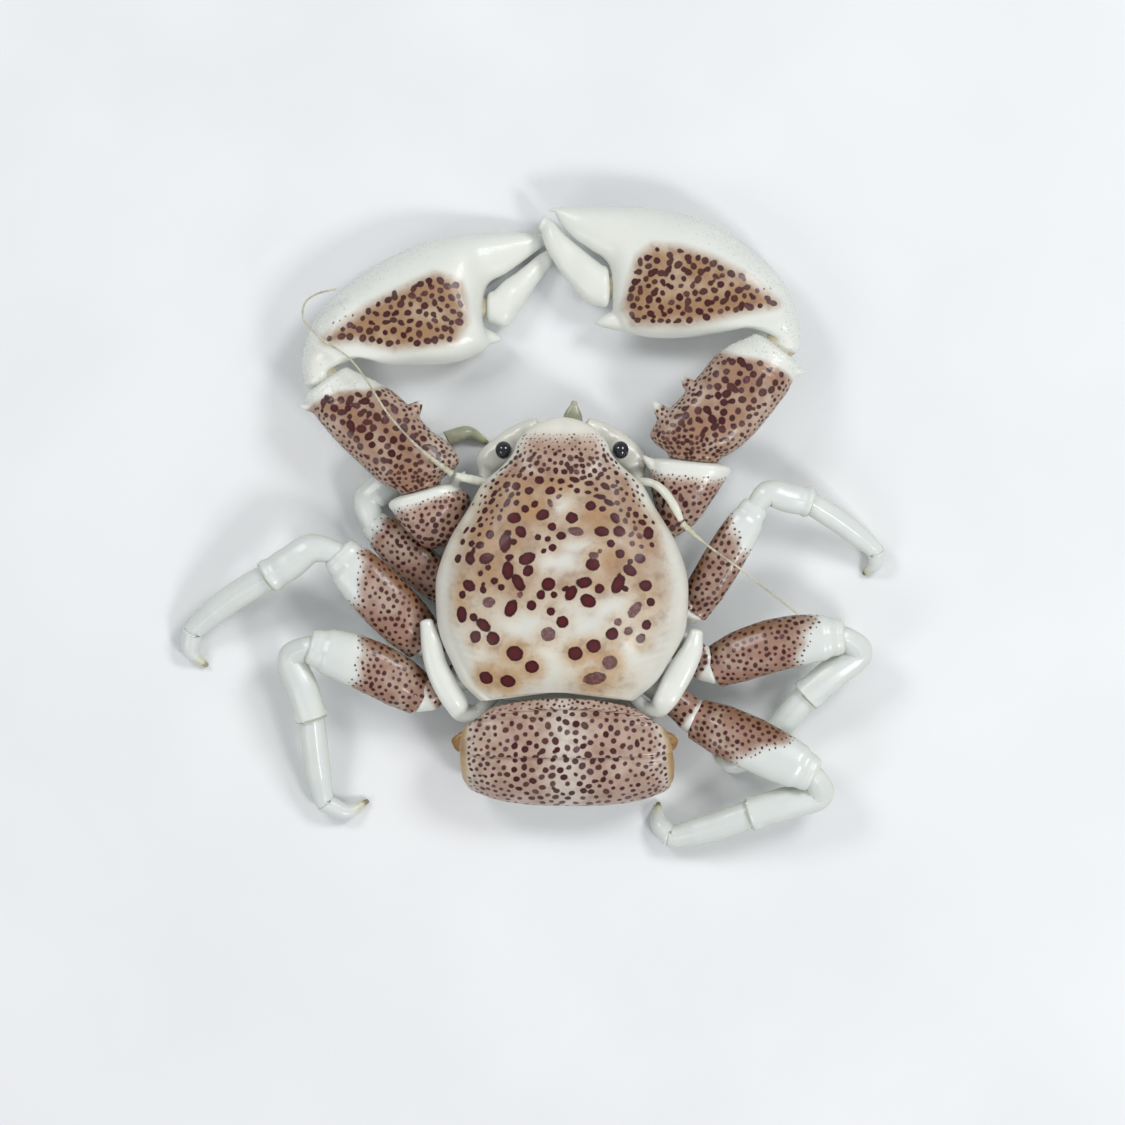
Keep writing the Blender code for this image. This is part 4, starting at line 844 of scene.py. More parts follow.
def paint_shell(made, x, y, aside, above):
    """Brown and pink ground in front, tan behind with places left bluish white, which on the dimples are
    painted shade, white margins, and the spots.
    """
    points, normals = points_of(made), normals_of(made)
    # Warm patches, and bluish white patches that are partly the shell's own ground and partly painted shade
    # on the dimples
    warm, bare_and_dimple_shade = patches(WARM_PATCHES, x, y), patches(BARE_AND_DIMPLE_SHADE_PATCHES, x, y)
    inner = smooth(0.94, 0.76, aside) * above
    front = smooth(-4.6, -6.4, y) * smooth(-9.3, -7.3, y)
    flank = 0.45 * smooth(0.5, 0.8, aside) * smooth(1.0, -2.5, y) * smooth(-8.3, -7.0, y)
    wavy = y + 0.8 * np.sin(x * 1.1 + 0.6) + 0.5 * np.sin(x * 2.3 - y)
    tan = (0.35 + 0.6 * smooth(3.6, 0.4, wavy)) * smooth(7.5, 5.5, wavy)
    lobe_rim = bell(front_lobe(x, y), 0.95, 0.12) * smooth(-5.4, -6.4, y)
    ground = ground_of(SHELL_WHITE, len(x))
    ground = tinted(ground, TAN, 0.85 * inner * tan * smooth(-9.3, -7.3, y) * (1.0 - 0.9 * bare_and_dimple_shade))
    ground = tinted(ground, PINK_BROWN, 0.75 * inner * np.maximum(front, flank) * (1.0 - 0.8 * bare_and_dimple_shade))
    ground = tinted(ground, SHELL_WHITE, 0.6 * above * lobe_rim)
    ground = tinted(ground, ORANGE, 0.75 * warm * inner * smooth(-6.4, -5.6, y))
    # Bluish white over those patches, painted shade where they lie on the dimples
    ground = tinted(ground, COOL_WHITE, 0.5 * bare_and_dimple_shade * smooth(-6.0, -4.0, y) * smooth(7.5, 5.0, y))

    spots = []
    halo = np.zeros(len(x))
    for place, (spot_x, spot_y, radius, *length) in enumerate(SHELL_SPOTS):
        stretch, degrees = length or (0.0, 0.0)
        away = np.hypot(x - spot_x, y - spot_y)
        halo = np.maximum(halo, bell(away, radius, 0.55) * above)
        nearest = (away + 9.0 * (normals[:, 2] < 0.0)).argmin()
        turn = (math.cos(math.radians(degrees)), math.sin(math.radians(degrees)), 0.0)
        # Fainter spots, partly painted highlight of the sheen
        strength = FAINT_AND_SHEENED_STRENGTH if place in FAINT_AND_SHEENED_SPOTS else 1.0
        spots.append((*points[nearest], radius * 1.1, stretch, *turn, strength))
    share = (0.25 + 0.35 * smooth(5.0, 6.5, y)) * halo * smooth(-6.5, -5.0, y)
    tell_ground(made, tinted(ground, ORANGE, share))

    backs, radii, spacings = zip(*FRONT_SPOTS)
    radius = np.interp(y, backs, radii) * (1.0 - 0.3 * smooth(0.66, 0.8, aside) * smooth(-7.4, -6.6, y))
    spacing = np.interp(y, backs, spacings)
    shown = (above > 0.6) & (y > -8.9) & (y < -1.8) & (aside < 0.95 - 0.15 * smooth(-5.0, -2.0, y))
    shown &= (y < -5.7) | (aside > 0.62)
    spots = strewn(points, normals, np.where(shown, radius, 0.0), spacing, SEEDS["shell"], 0.1, spots)
    tell_spots(made, points, spots)


def ground_of(colour, count):
    """The same colour for each point."""
    return np.tile(np.array(colour, float), (count, 1))


def tinted(ground, colour, share):
    """The ground mixed with another colour by the share."""
    share = np.clip(share, 0.0, 1.0)[:, None]
    return ground * (1.0 - share) + np.array(colour, float) * share


def linear(colour):
    """A colour from 0 to 255 as light from 0 to 1."""
    value = np.asarray(colour, float) / 255.0
    return np.where(value <= 0.04045, value / 12.92, ((value + 0.055) / 1.055) ** 2.4)


def tell_ground(made, ground):
    """Keeps the ground's colour for each point."""
    values = np.column_stack([linear(ground), np.ones(len(ground))]).astype(np.float32)
    made.data.attributes.new("ground", "FLOAT_COLOR", "POINT").data.foreach_set("color", values.ravel())


def spotted(made, radius, spacing, seed, pairs=0.3):
    """Strews spots over a piece, in the radius and spacing of each point, with none where the radius is 0."""
    points = points_of(made)
    spacing = np.broadcast_to(spacing, len(points))
    tell_spots(made, points, strewn(points, normals_of(made), radius, spacing, seed, pairs))


def tail_line():
    """The tail's outer line: back, height, 0, half width, thickness, direction inwards, and length so far."""
    line = through([(back, height, 0.0, half, thickness) for back, height, half, thickness in TAIL], 241)
    path = line[:, :2]
    inward = unit(np.gradient(path, axis=0))[:, ::-1] * np.array([-1.0, 1.0])
    towards = (np.array(TAIL_HUB) - path) * inward
    inward = inward * np.sign(towards.sum(axis=1))[:, None]
    length = np.concatenate([[0.0], np.cumsum(np.linalg.norm(np.diff(path, axis=0), axis=1))])
    return np.column_stack([line, inward, length])


def tail_ring(row, reach, sunk):
    """A closed section of the tail: its outer surface out and its inner surface back, sunk inwards."""
    back, height, _, half, thickness, inward_y, inward_z, _ = row
    out = np.linspace(-1.0, 1.0, reach)
    share = np.concatenate([out, out[::-1]])
    depth = np.concatenate([np.zeros(reach), np.full(reach, thickness)])
    width = np.where(depth > 0.0, half * 0.95, half)
    arch = 1.0 - (1.0 - np.abs(share) ** 2.6) ** (1.0 / 2.6)
    bend = min(1.0, max(0.0, (height - 0.5) / 2.5)) * min(1.0, (back - 9.0) / 3.0 if height > 5.0 else 1.0)
    pull = arch * 0.58 * bend * math.hypot(TAIL_HUB[0] - back, TAIL_HUB[1] - height) + depth
    pull = np.where(depth > 0.0, pull * (1.0 - 0.25 * np.abs(share) ** 3) + 0.05, pull + sunk)
    notch = REAR_NOTCH * share**2 * min(1.0, max(0.0, (12.8 - back) / 3.0)) if height > 5.0 else 0.0
    points = np.column_stack([width * share, back + notch + inward_y * pull, height + inward_z * pull])
    points[:, 0] -= TAIL_SWING * np.maximum(0.0, points[:, 1] - TAIL_SWING_FROM)
    return points


def make_tail():
    """Six overlapping rings of the abdomen, each tucked under the one before it, with a raised rear rim."""
    line = tail_line()
    length = line[:, 7]
    for number in range(6):
        first = TAIL_ENDS[number] * length[-1] + (GAP * (1.2 if number == 1 else 0.5) if number else 0.0)
        last = TAIL_ENDS[number + 1] * length[-1] - GAP / 2.0
        shown = number < 4
        tuck = TAIL_TUCK if number in (1, 2, 3) else 0.0
        places = np.linspace(first - tuck, last, int((last - first) / (0.1 if shown else 0.2)))
        spread = np.array([np.interp(places, length, line[:, k]) for k in range(8)]).T
        rings = []
        for place, row in zip(places, spread):
            sunk = TAIL_SINK * float(smooth(first + 0.3, first - 0.1, place)) if tuck else 0.0
            sunk -= TAIL_RIM * float(bell(place, last - 0.2, 0.25)) if shown else 0.0
            rings.append(evened(tail_ring(row, 400, sunk), 320 if shown else 120))
        tips = (rings[0].mean(axis=0), rings[-1].mean(axis=0))
        piece = object_of("abdomen_%d_shell" % (number + 1), [closed(np.array(rings), tips)])
        paint_tail(piece, number)
        finished(piece, ["abdomen_%d" % (number + 1)], LOOK["tail"])


def paint_tail(piece, number):
    """Pinkish tan ground with maroon spots on the back, and yellowish sides."""
    points, normals = points_of(piece), normals_of(piece)
    half = np.interp(points[:, 1], [9.8, 11.0, 12.7, 17.5], [5.4, 6.9, 7.4, 7.5])
    swing = TAIL_SWING * np.maximum(0.0, points[:, 1] - TAIL_SWING_FROM)
    aside = np.abs(points[:, 0] + swing) / half
    back = smooth(-0.3, 0.1, normals[:, 2]) * smooth(1.6, 2.8, points[:, 2])
    if number > 2:
        back = smooth(12.5, 14.5, points[:, 1]) * smooth(0.5, 1.5, points[:, 2])
    middle = 0.4 + 0.45 * smooth(0.0, 0.35, aside)
    ground = tinted(ground_of(WHITE, len(points)), PINK_CREAM, middle * back * smooth(1.05, 0.8, aside))
    ground = tinted(ground, TAIL_SIDE, 0.85 * smooth(0.92, 1.0, aside) * smooth(0.6, 1.8, points[:, 2]))
    tell_ground(piece, ground)
    if number == 0:
        spotted(piece, np.where((back > 0.5) & (aside < 0.9), 0.1, 0.0), 0.32, SEEDS["tail"], 0.05)
        return
    radius = np.where((back > 0.5) & (aside < 0.94), 0.125 + 0.085 * bell(aside, 0.25, 0.45), 0.0)
    spotted(piece, radius, 0.38 + 0.17 * smooth(0.95, 0.5, aside), SEEDS["tail"] + number, 0.05)


def symmetric_frames(table, count):
    """Sections of a block symmetric about the middle, from rows of y, half width, height, rise and drop."""
    edges = [(half, y, -half, y, height, rise, drop) for y, half, height, rise, drop in table]
    return plate_frames(edges, count)


def make_tail_core():
    """The soft flesh that the folded tail closes over."""
    frames = symmetric_frames(TAIL_CORE, 24)
    frames.centre[:, 0] -= TAIL_SWING * (TAIL_CORE[1][0] - TAIL_SWING_FROM)
    made = object_of("abdomen_flesh", [rounded(frames, (0.2, 0.2), 120, 2.6)])
    points = points_of(made)
    raised(made, 0.04 * np.sin(points[:, 0] * 5.0) * np.sin(points[:, 1] * 7.0))
    finished(made, ["abdomen_core"], LOOK["flesh"])


def make_tail_fan():
    """The end plate and two pairs of side blades, ribbed lengthwise."""
    front = TAIL[-1][0] - GAP
    height = TAIL[-1][1]
    edges = []
    for half, forward, lift, rise, drop in FAN_PLATE:
        edges.append((half, front - forward, -half, front - forward, height + lift, rise, drop))
    parts = [rounded(plate_frames(edges, 20), (0.3, 0.3), 60, CLAW_FORM)]
    for side in (1.0, -1.0):
        for reach, forward in FAN_BLADES:
            blade = [
                (side * 0.9, front - 0.6, height + 0.4, 1.0, 0.6),
                (side * (0.8 + reach * 0.7), front - forward * 0.5, height + 0.4, 1.7, 0.65),
                (side * (0.9 + reach), front - forward, height + 0.4, 1.3, 0.55),
            ]
            parts.append(rounded(limb_frames(blade, 16), (0.2, 0.4), 40, LIMB_FORM))
    made = grown_together("tail_fan_shell", parts, FINE_CUBE, 3)
    points = points_of(made)
    raised(made, 0.025 * np.sin(points[:, 0] * 9.0) * smooth(0.5, 0.9, np.abs(normals_of(made)[:, 2])))
    plain_ground(made, IVORY, COOL_WHITE)
    finished(made, ["tail_fan"], LOOK["porcelain"])


def plain_ground(made, colour, low_colour):
    """One colour above that turns to another one below, without spots."""
    upwards = normals_of(made)[:, 2]
    unspotted(made, tinted(ground_of(colour, len(upwards)), low_colour, smooth(0.3, -0.6, upwards)))


# The places along a leg, and three directions: of its long segment, at the wrist's end and at the ankle
LegPoints = collections.namedtuple(
    "LegPoints", "hip start knee bend wrist ankle hook tip thigh wrist_head ankle_head"
)


def leg_points(name):
    """The places and directions of a leg."""
    points = [np.array(point) for point in LEGS[name][:8]]
    _, start, knee, bend, wrist, ankle, hook, _ = points
    thigh = unit(knee - start)
    wrist_head = unit(unit(wrist - bend) + unit(ankle - wrist))
    ankle_head = unit(unit(ankle - wrist) + unit(hook - ankle))
    return LegPoints(*points, thigh, wrist_head, ankle_head)


def hip_frames(name):
    """The hip of a walking leg."""
    leg = leg_points(name)
    end = leg.start - leg.thigh * (GAP / 2.0 + 0.2)
    wide = min(LEGS[name][8][0] * 0.66, 2.4)
    middle = (leg.hip + leg.start) / 2.0
    return limb_frames([(*leg.hip, 1.9, 1.9), (*middle, 2.1, 2.0), (*end, wide, 2.0)], 30, (None, leg.thigh))


def row_middle(row):
    """The middle of a claw's row, the vector across it to the outer edge, and the way along the claw."""
    outer_x, outer_y, inner_x, inner_y, height = row[:5]
    middle = np.array([(outer_x + inner_x) / 2.0, (outer_y + inner_y) / 2.0, height])
    across = np.array([outer_x - inner_x, outer_y - inner_y, 0.0])
    return middle, across, unit(np.cross(across, UP))


def claw_hip_frames(side):
    """The hip of a claw arm, straight in from the arm's first row."""
    root, _, head = row_middle(ARM[side][0])
    head = head * np.sign(root[0] * head[0])
    end = root - head * (GAP + 0.6)
    inside = np.array([root[0] * 0.6, root[1], root[2]])
    rows = [(*inside, 1.9, 1.8), (*((inside + end) / 2.0), 2.0, 1.9), (*end, 2.2, 2.0)]
    return limb_frames(rows, 24, (None, head))


def make_thorax():
    """The breastplate with its grooves between the legs, and the hip of every leg grown on it."""
    hips = {name: hip_frames(name) for name in LEGS}
    parts = [rounded(symmetric_frames(THORAX, 60), (0.2, 0.2), 160, 4.0)]
    parts += [rounded(frames, (0.2, 0.2), 48, LIMB_FORM) for frames in hips.values()]
    parts += [rounded(claw_hip_frames(side), (0.2, 0.5), 48, LIMB_FORM) for side in ARM]
    made = grown_together("thorax_shell", parts, THORAX_CUBE, 5)
    points, normals = points_of(made), normals_of(made)
    x, y = points[:, 0], points[:, 1]
    below = smooth(-0.3, -0.8, normals[:, 2])
    relief = np.zeros(len(points))
    for groove in BREAST_GROOVES:
        relief -= 0.14 * below * bell(y - 0.12 * np.abs(x), groove, 0.22)
    relief -= 0.1 * below * bell(x, 0.0, 0.2) * smooth(-2.0, 1.0, y)
    ground = tinted(ground_of(WHITE, len(points)), COOL_WHITE, 0.6 * below)
    radius = np.zeros(len(points))
    for frames in hips.values():
        along, _, _ = frames.place(points)
        near = np.linalg.norm(points - frames.centre[-1], axis=1) < 2.6
        upper = near & (normals[:, 2] > 0.05) & (np.abs(x) > 4.5)
        ground = tinted(ground, MAUVE, 0.9 * upper * smooth(0.97, 0.88, along))
        radius = np.where(upper & (along < 0.92) & (along > 0.1), 0.14, radius)
        relief += 0.07 * near * bell(along, 0.93, 0.05)
    raised(made, relief)
    tell_ground(made, ground)
    spotted(made, radius, 0.42, SEEDS["thorax"], 0.05)
    finished(made, ["thorax"], LOOK["leg"])


def bowed_rows(first, last, profile, width, depth, across, bow, crown=0.0):
    """Rows of x, y, z, width and depth along a segment that bows sideways and rises in its middle."""
    count = int(np.linalg.norm(last - first) / SEGMENT_STEP)
    spread = np.linspace(0.0, 1.0, count)[:, None]
    arc = np.sin(spread * math.pi)
    path = first + (last - first) * spread + arc * crown * UP + unit(np.cross(UP, across)) * arc * bow
    wide = shares(profile, count)[:, None] * width
    return np.hstack([path, wide, wide * depth])


def leg_piece(node, frames, ends, sides, keel=0.0, keel_side=0.0, squareness=LIMB_FORM):
    """A segment of a leg, and how far along it each of its points lies."""
    made = object_of(node + "_shell", [rounded(frames, ends, sides, squareness, keel, keel_side)])
    return made, frames.place(points_of(made))[0]


def make_leg(name, seed):
    """Long segment, wrist, shin and hooked claw of a walking leg, each tucked into the one before it."""
    leg = leg_points(name)
    long_width, wrist_width, shin_width, long_bow, shin_bow = LEGS[name][8]

    first, last = leg.start - leg.thigh * 0.1, leg.knee - leg.thigh * (GAP / 2.0 + 0.35)
    rows = bowed_rows(first, last, LONG_SEGMENT, long_width, FLATNESS, leg.thigh, long_bow, 0.25)
    frames = limb_frames(rows, len(rows))
    made = object_of(name + "_merus_shell", [rounded(frames, (0.3, 0.4), 120, LIMB_FORM, 0.06, 0.12)])
    paint_merus(made, frames, name, seed)
    finished(made, [name + "_merus"], LOOK["leg"])

    rows = np.array([leg.knee - leg.thigh * 0.25, leg.bend, (leg.bend + leg.wrist) / 2.0, leg.wrist])
    width = shares(WRIST, 4)[:, None] * wrist_width
    frames = limb_frames(np.hstack([rows, width, width * 0.9]), 46, (leg.thigh, leg.wrist_head))
    made, along = leg_piece(name + "_carpus", frames, (0.3, -0.2), 80, 0.07)
    raised(made, 0.07 * bell(along, 0.97, 0.05) - 0.05 * bell(along, 0.86, 0.06))
    paint_plain_leg(made, along)
    finished(made, [name + "_carpus"], LOOK["leg"])

    first, last = leg.wrist - leg.wrist_head * 0.05, leg.ankle - leg.ankle_head * (GAP / 2.0 + 0.2)
    rows = bowed_rows(first, last, SHIN, shin_width, 0.88, last - first, shin_bow)
    frames = limb_frames(rows, len(rows), (leg.wrist_head, leg.ankle_head))
    made, along = leg_piece(name + "_propodus", frames, (0.35, 0.2), 80, 0.07, 0.1)
    raised(made, 0.03 * bell(along, 0.97, 0.04))
    paint_plain_leg(made, along)
    finished(made, [name + "_propodus"], LOOK["leg"])

    width = shin_width * 0.74
    first = leg.ankle - leg.ankle_head * 0.1
    rows = [(*first, width, width), (*leg.hook, width * 0.8, width * 0.8), (*leg.tip, 0.35, 0.6)]
    frames = limb_frames(rows, 40, (leg.ankle_head, None))
    made, along = leg_piece(name + "_dactyl", frames, (0.15, 0.15), 56, squareness=2.1)
    raised(made)
    ground = ground_of(GREY_HORN if name == "leg_1_left" else LEG_WHITE, len(along))
    # Yellow-green towards the tip: the claw's own tint
    ground = tinted(ground, GREEN_TINT_AND_SIDE_SHADE, 0.6 * smooth(0.55, 0.9, along))
    unspotted(made, tinted(ground, CLAW_TIP, 0.85 * smooth(0.86, 0.98, along)))
    finished(made, [name + "_dactyl"], LOOK["horn"])


def paint_merus(made, frames, name, seed):
    """Fine round spots on pinkish tan, orange-brown along the edge, and bluish white at the knee."""
    points, normals = points_of(made), normals_of(made)
    along, aside, up = frames.place(points)
    relief = -0.1 * bell(along, 0.05, 0.06) * smooth(0.0, 0.4, up)
    relief += 0.05 * bell(along, 0.985, 0.02) - 0.06 * bell(along, 0.93, 0.03)
    raised(made, relief)
    headward = -aside if name.endswith("left") else aside
    head_end, tail_end = SPOTTED_SHARE[name]
    end = tail_end + (head_end - tail_end) * smooth(-1.0, 1.0, headward)
    past = along - end + 0.015 * np.sin(aside * 7.0 + seed)
    upper = smooth(-0.35, 0.1, up)
    coloured = smooth(0.07, -0.08, past) * upper
    ground = tinted(ground_of(LEG_WHITE, len(points)), MAUVE, 0.95 * coloured)
    ground = tinted(ground, OCHRE_EDGE, 0.85 * coloured * smooth(0.3, 0.9, headward))
    # Yellow-green painted shade on the sides, outside the coloured part
    tell_ground(made, tinted(ground, GREEN_TINT_AND_SIDE_SHADE, 0.55 * side_shade_of(normals) * (1.0 - coloured)))
    radius = np.where((upper > 0.4) & (past < 0.06), 0.142 - 0.065 * smooth(-0.12, 0.06, past), 0.0)
    spacing = 0.42 - 0.09 * smooth(-0.12, 0.06, past)
    tell_spots(made, points, strewn(points, normals, radius, spacing, seed, 0.04))


def paint_plain_leg(made, along):
    """Bluish white, with yellow-green painted shade on its sides."""
    ground = tinted(ground_of(LEG_WHITE, len(along)), COOL_WHITE, 0.5 * smooth(0.2, 0.8, along))
    # Yellow-green painted shade on the sides
    unspotted(made, tinted(ground, GREEN_TINT_AND_SIDE_SHADE, 0.5 * side_shade_of(normals_of(made))))


def teeth_on(node):
    """The teeth that grow on a piece."""
    return [tooth(*numbers) for numbers in TEETH.get(node, [])]


def make_claw(side, seed):
    """Arm, wrist, palm with its fixed finger, and the movable finger."""
    for part, table, ends, paint in (
        ("arm", ARM, (0.45, 0.55), paint_arm),
        ("wrist", CLAW_WRIST, (0.5, 0.5), paint_wrist),
        ("palm", PALM, (0.65, 0.3), paint_palm),
        ("finger", FINGER, (0.5, 0.3), paint_finger),
    ):
        node = "claw_%s_%s" % (part, side)
        frames = plate_frames(table[side], 90)
        parts = [rounded(frames, ends, 120, CLAW_FORM)] + teeth_on(node)
        made = grown_together(node + "_shell", parts, FINE_CUBE, 4)
        paint(made, frames, side, seed)
        if part in ("wrist", "palm"):
            make_granules(made, part, side)
        finished(made, [node], LOOK["claw"])


def paint_arm(made, frames, side, seed):
    """Spotted pinkish cream with a white rim towards the wrist."""
    points = points_of(made)
    along, _, up = frames.place(points)
    raised(made, 0.03 * bell(along, 0.97, 0.04))
    upper = smooth(-0.5, -0.1, up)
    coloured = smooth(0.97, 0.76, along) * upper
    ground = tinted(ground_of(WHITE, len(points)), PINK_CREAM, 0.95 * coloured)
    tell_ground(made, tinted(ground, OCHRE_EDGE, 0.5 * coloured * smooth(0.4, 0.1, along)))
    fade = smooth(0.62, 0.9, along)
    radius = np.where((upper > 0.4) & (along < 0.93), 0.18 - 0.12 * fade, 0.0)
    spotted(made, radius, 0.45 - 0.18 * fade, seed, 0.1)


def paint_wrist(made, frames, side, seed):
    """Spotted tan with finer dots on its margins, a white end towards the palm and white teeth."""
    points = points_of(made)
    along, aside, up = frames.place(points)
    rings = 0.05 * bell(along, 0.98, 0.03) + 0.04 * bell(along, 0.03, 0.03) - 0.05 * bell(along, 0.84, 0.03)
    raised(made, rings)
    upper = smooth(-0.6, -0.1, up)
    margin = smooth(0.6, 0.88, np.abs(aside))
    start = smooth(0.3, 0.1, along)
    end = 0.86 - 0.07 * smooth(-0.2, 0.8, -aside)
    body = smooth(1.3, 1.08, np.abs(aside))
    coloured = upper * smooth(end + 0.05, end - 0.04, along) * body
    ground = tinted(ground_of(WHITE, len(points)), WRIST_TAN, coloured * (0.9 - 0.35 * margin))
    tell_ground(made, tinted(ground, PINK_CREAM, 0.5 * coloured * margin))
    tell(made, "grain", smooth(end, end + 0.08, along) * smooth(-0.4, 0.2, up))
    shown = (upper > 0.3) & (along < end - 0.01) & (body > 0.6)
    radius = np.where(shown, 0.24 - 0.125 * np.maximum(margin, 0.8 * start), 0.0)
    spacing = 0.57 - 0.24 * np.maximum(margin, start)
    tell_spots(made, points, strewn(points, normals_of(made), radius, spacing, seed + 1, 0.2))


def paint_palm(made, frames, side, seed):
    """White, with a tan patch of joined spots, finer dots towards the body, and a grained outer margin."""
    points = points_of(made)
    along, aside, up = frames.place(points)
    raised(made)
    x, y = points[:, 0], points[:, 1]
    depth = depth_inside(x, y, PALM_PATCH[side])
    above = smooth(-0.1, 0.2, up)
    ground = tinted(ground_of(WHITE, len(points)), COOL_WHITE, 0.4 * smooth(0.2, 1.0, aside))
    ground = tinted(ground, TAN, 0.5 * above * smooth(-0.8, 0.0, depth))
    ground = tinted(ground, PATCH_TAN, 0.9 * above * smooth(-0.3, 0.4, depth))
    tell_ground(made, tinted(ground, SHELL_WHITE, 0.3 * above * smooth(1.0, 2.2, depth)))
    margin = [row[:2] for row in PALM[side][:7]]
    from_margin = np.abs(depth_inside(x, y, margin + margin[-2:0:-1]))
    tell(made, "grain", smooth(1.7, 0.5, from_margin) * smooth(-0.1, 0.2, up) * smooth(-0.3, -0.7, depth))
    middle = np.mean([place[1] for place in PALM_PATCH[side]])
    fine = (depth < -0.2) & (depth > -0.9) & (y > middle) & (along > 0.2) & (along < 0.65)
    radius = np.where(up > 0.0, np.where(depth > 0.0, 0.215, np.where(fine, 0.06, 0.0)), 0.0)
    spacing = np.where(depth > -0.1, 0.52, 0.45)
    tell_spots(made, points, strewn(points, normals_of(made), radius, spacing, seed + 3, 0.35))


def paint_finger(made, frames, side, seed):
    """Plain white."""
    raised(made)
    plain_ground(made, WHITE, COOL_WHITE)


def new_node(tree, kind, values=(), **settings):
    """A new node with its settings, and with its inputs at the given values."""
    made = tree.nodes.new(kind)
    for setting, choice in settings.items():
        setattr(made, setting, choice)
    for socket, value in dict(values).items():
        made.inputs[socket].default_value = value
    return made


def joined(tree, links):
    """Links nodes, each link given as a node, its output, the next node and its input."""
    for source, output, target, socket in links:
        tree.links.new(source.outputs[output], target.inputs[socket])


def shape_tree(name, taken, sizes, made):
    """A node tree that makes a geometry from another one and named sizes, and the node that gives those."""
    tree = bpy.data.node_groups.new(name, "GeometryNodeTree")
    tree.interface.new_socket(taken, in_out="INPUT", socket_type="NodeSocketGeometry")
    for socket, size in sizes.items():
        tree.interface.new_socket(socket, in_out="INPUT", socket_type="NodeSocketFloat").default_value = size
    tree.interface.new_socket(made, in_out="OUTPUT", socket_type="NodeSocketGeometry")
    return tree, tree.nodes.new("NodeGroupInput")


def made_real(tree, source, output, look, made):
    """Ends a geometry node tree: real geometry in the look."""
    real = new_node(tree, "GeometryNodeRealizeInstances")
    dressed = new_node(tree, "GeometryNodeSetMaterial", {"Material": look})
    result = new_node(tree, "NodeGroupOutput")
    joined(tree, [
        (source, output, real, "Geometry"),
        (real, "Geometry", dressed, "Geometry"),
        (dressed, "Geometry", result, made),
    ])


def granule_tree(look):
    """Node tree that scatters small round granules over a surface where its grain is strong."""
    tree, given = shape_tree("shell_granules", "Surface", GRANULE_SIZES, "Granules")
    grain = new_node(tree, "GeometryNodeInputNamedAttribute", {"Name": "grain"}, data_type="FLOAT")
    seed = {"Seed": SEEDS["granule places"]}
    scatter = new_node(tree, "GeometryNodeDistributePointsOnFaces", seed, distribute_method="POISSON")
    size = new_node(tree, "FunctionNodeRandomValue", {"Seed": SEEDS["granule sizes"]}, data_type="FLOAT")
    bead = new_node(tree, "GeometryNodeMeshIcoSphere", {"Radius": 1.0, "Subdivisions": 2})
    beads = new_node(tree, "GeometryNodeInstanceOnPoints")
    joined(tree, [
        (given, "Surface", scatter, "Mesh"),
        (grain, "Attribute", scatter, "Density Factor"),
        (given, "Spacing", scatter, "Distance Min"),
        (given, "Density", scatter, "Density Max"),
        (scatter, "Points", beads, "Points"),
        (bead, "Mesh", beads, "Instance"),
        (given, "Smallest", size, 2),
        (given, "Largest", size, 3),
        (size, 1, beads, "Scale"),
    ])
    made_real(tree, beads, "Instances", look, "Granules")
    return tree


def make_granules(surface, part, side):
    """The glittering granules on the margins of a wrist or a palm."""
    made = placed("claw_%s_%s_granules" % (part, side), surface.data.copy())
    made.modifiers.new("granules", "NODES").node_group = granule_tree(LOOK["granule"])
    evaluated(made)
    made.data.transform(Matrix.Translation((0.0, 0.0, 0.02)))
    finished(made, [], LOOK["granule"])


def depth_inside(x, y, outline):
    """How far inside the closed outline each point lies, negative outside it."""
    inside = np.zeros(len(x), bool)
    nearest = np.full(len(x), 99.0)
    for (ax, ay), (bx, by) in zip(outline, outline[1:] + outline[:1]):
        crosses = (ay > y) != (by > y)
        inside ^= crosses & (x < (bx - ax) * (y - ay) / (by - ay + 1e-12) + ax)
        length = math.hypot(bx - ax, by - ay)
        share = np.clip(((x - ax) * (bx - ax) + (y - ay) * (by - ay)) / length**2, 0.0, 1.0)
        nearest = np.minimum(nearest, np.hypot(x - ax - share * (bx - ax), y - ay - share * (by - ay)))
    return np.where(inside, nearest, -nearest)


def sided(rows, sign, places=(0,)):
    """The rows, with the numbers at the given places turned to the crab's right if the sign is -1."""
    table = np.array(rows, float)
    table[:, list(places)] *= sign
    return table


def make_face():
    """Eyes on their stalks, mouthparts with their feelers, and the roots of the antennae."""
    for side, sign in (("left", 1.0), ("right", -1.0)):
        make_eye(side, sign)
        plain_limb("eyestalk_" + side, sided(STALK, sign), (0.15, 0.1), 60)
        frames = plate_frames(sided(MOUTH_PLATE, sign, (0, 2)), 60)
        made = object_of("mouthpart_%s_shell" % side, [rounded(frames, (0.2, 0.2), 90, CLAW_FORM)])
        along, aside, up = frames.place(points_of(made))
        raised(made, 0.06 * np.sin(along * 26.0) * smooth(0.0, 0.6, up) * bell(aside, -0.2, 0.6))
        plain_ground(made, SHELL_WHITE, COOL_WHITE)
        finished(made, ["mouthpart_" + side], LOOK["porcelain"])
        plain_limb("mouth_palp_" + side, sided(MOUTH_PALP, sign), (0.2, 0.2), 40)
        plain_limb("antennule_" + side, ANTENNULE[side], (0.2, 0.3), 40, GREY_HORN)
        end, whip = np.array(ANTENNA_BASE[side][-1][:3]), np.array(ANTENNA[side][0])
        base = ANTENNA_BASE[side] + [(*(end + 0.5 * (whip - end)), 0.42, 0.42)]
        plain_limb("antenna_base_" + side, base, (0.2, 0.1), 40)
        make_antenna(side)


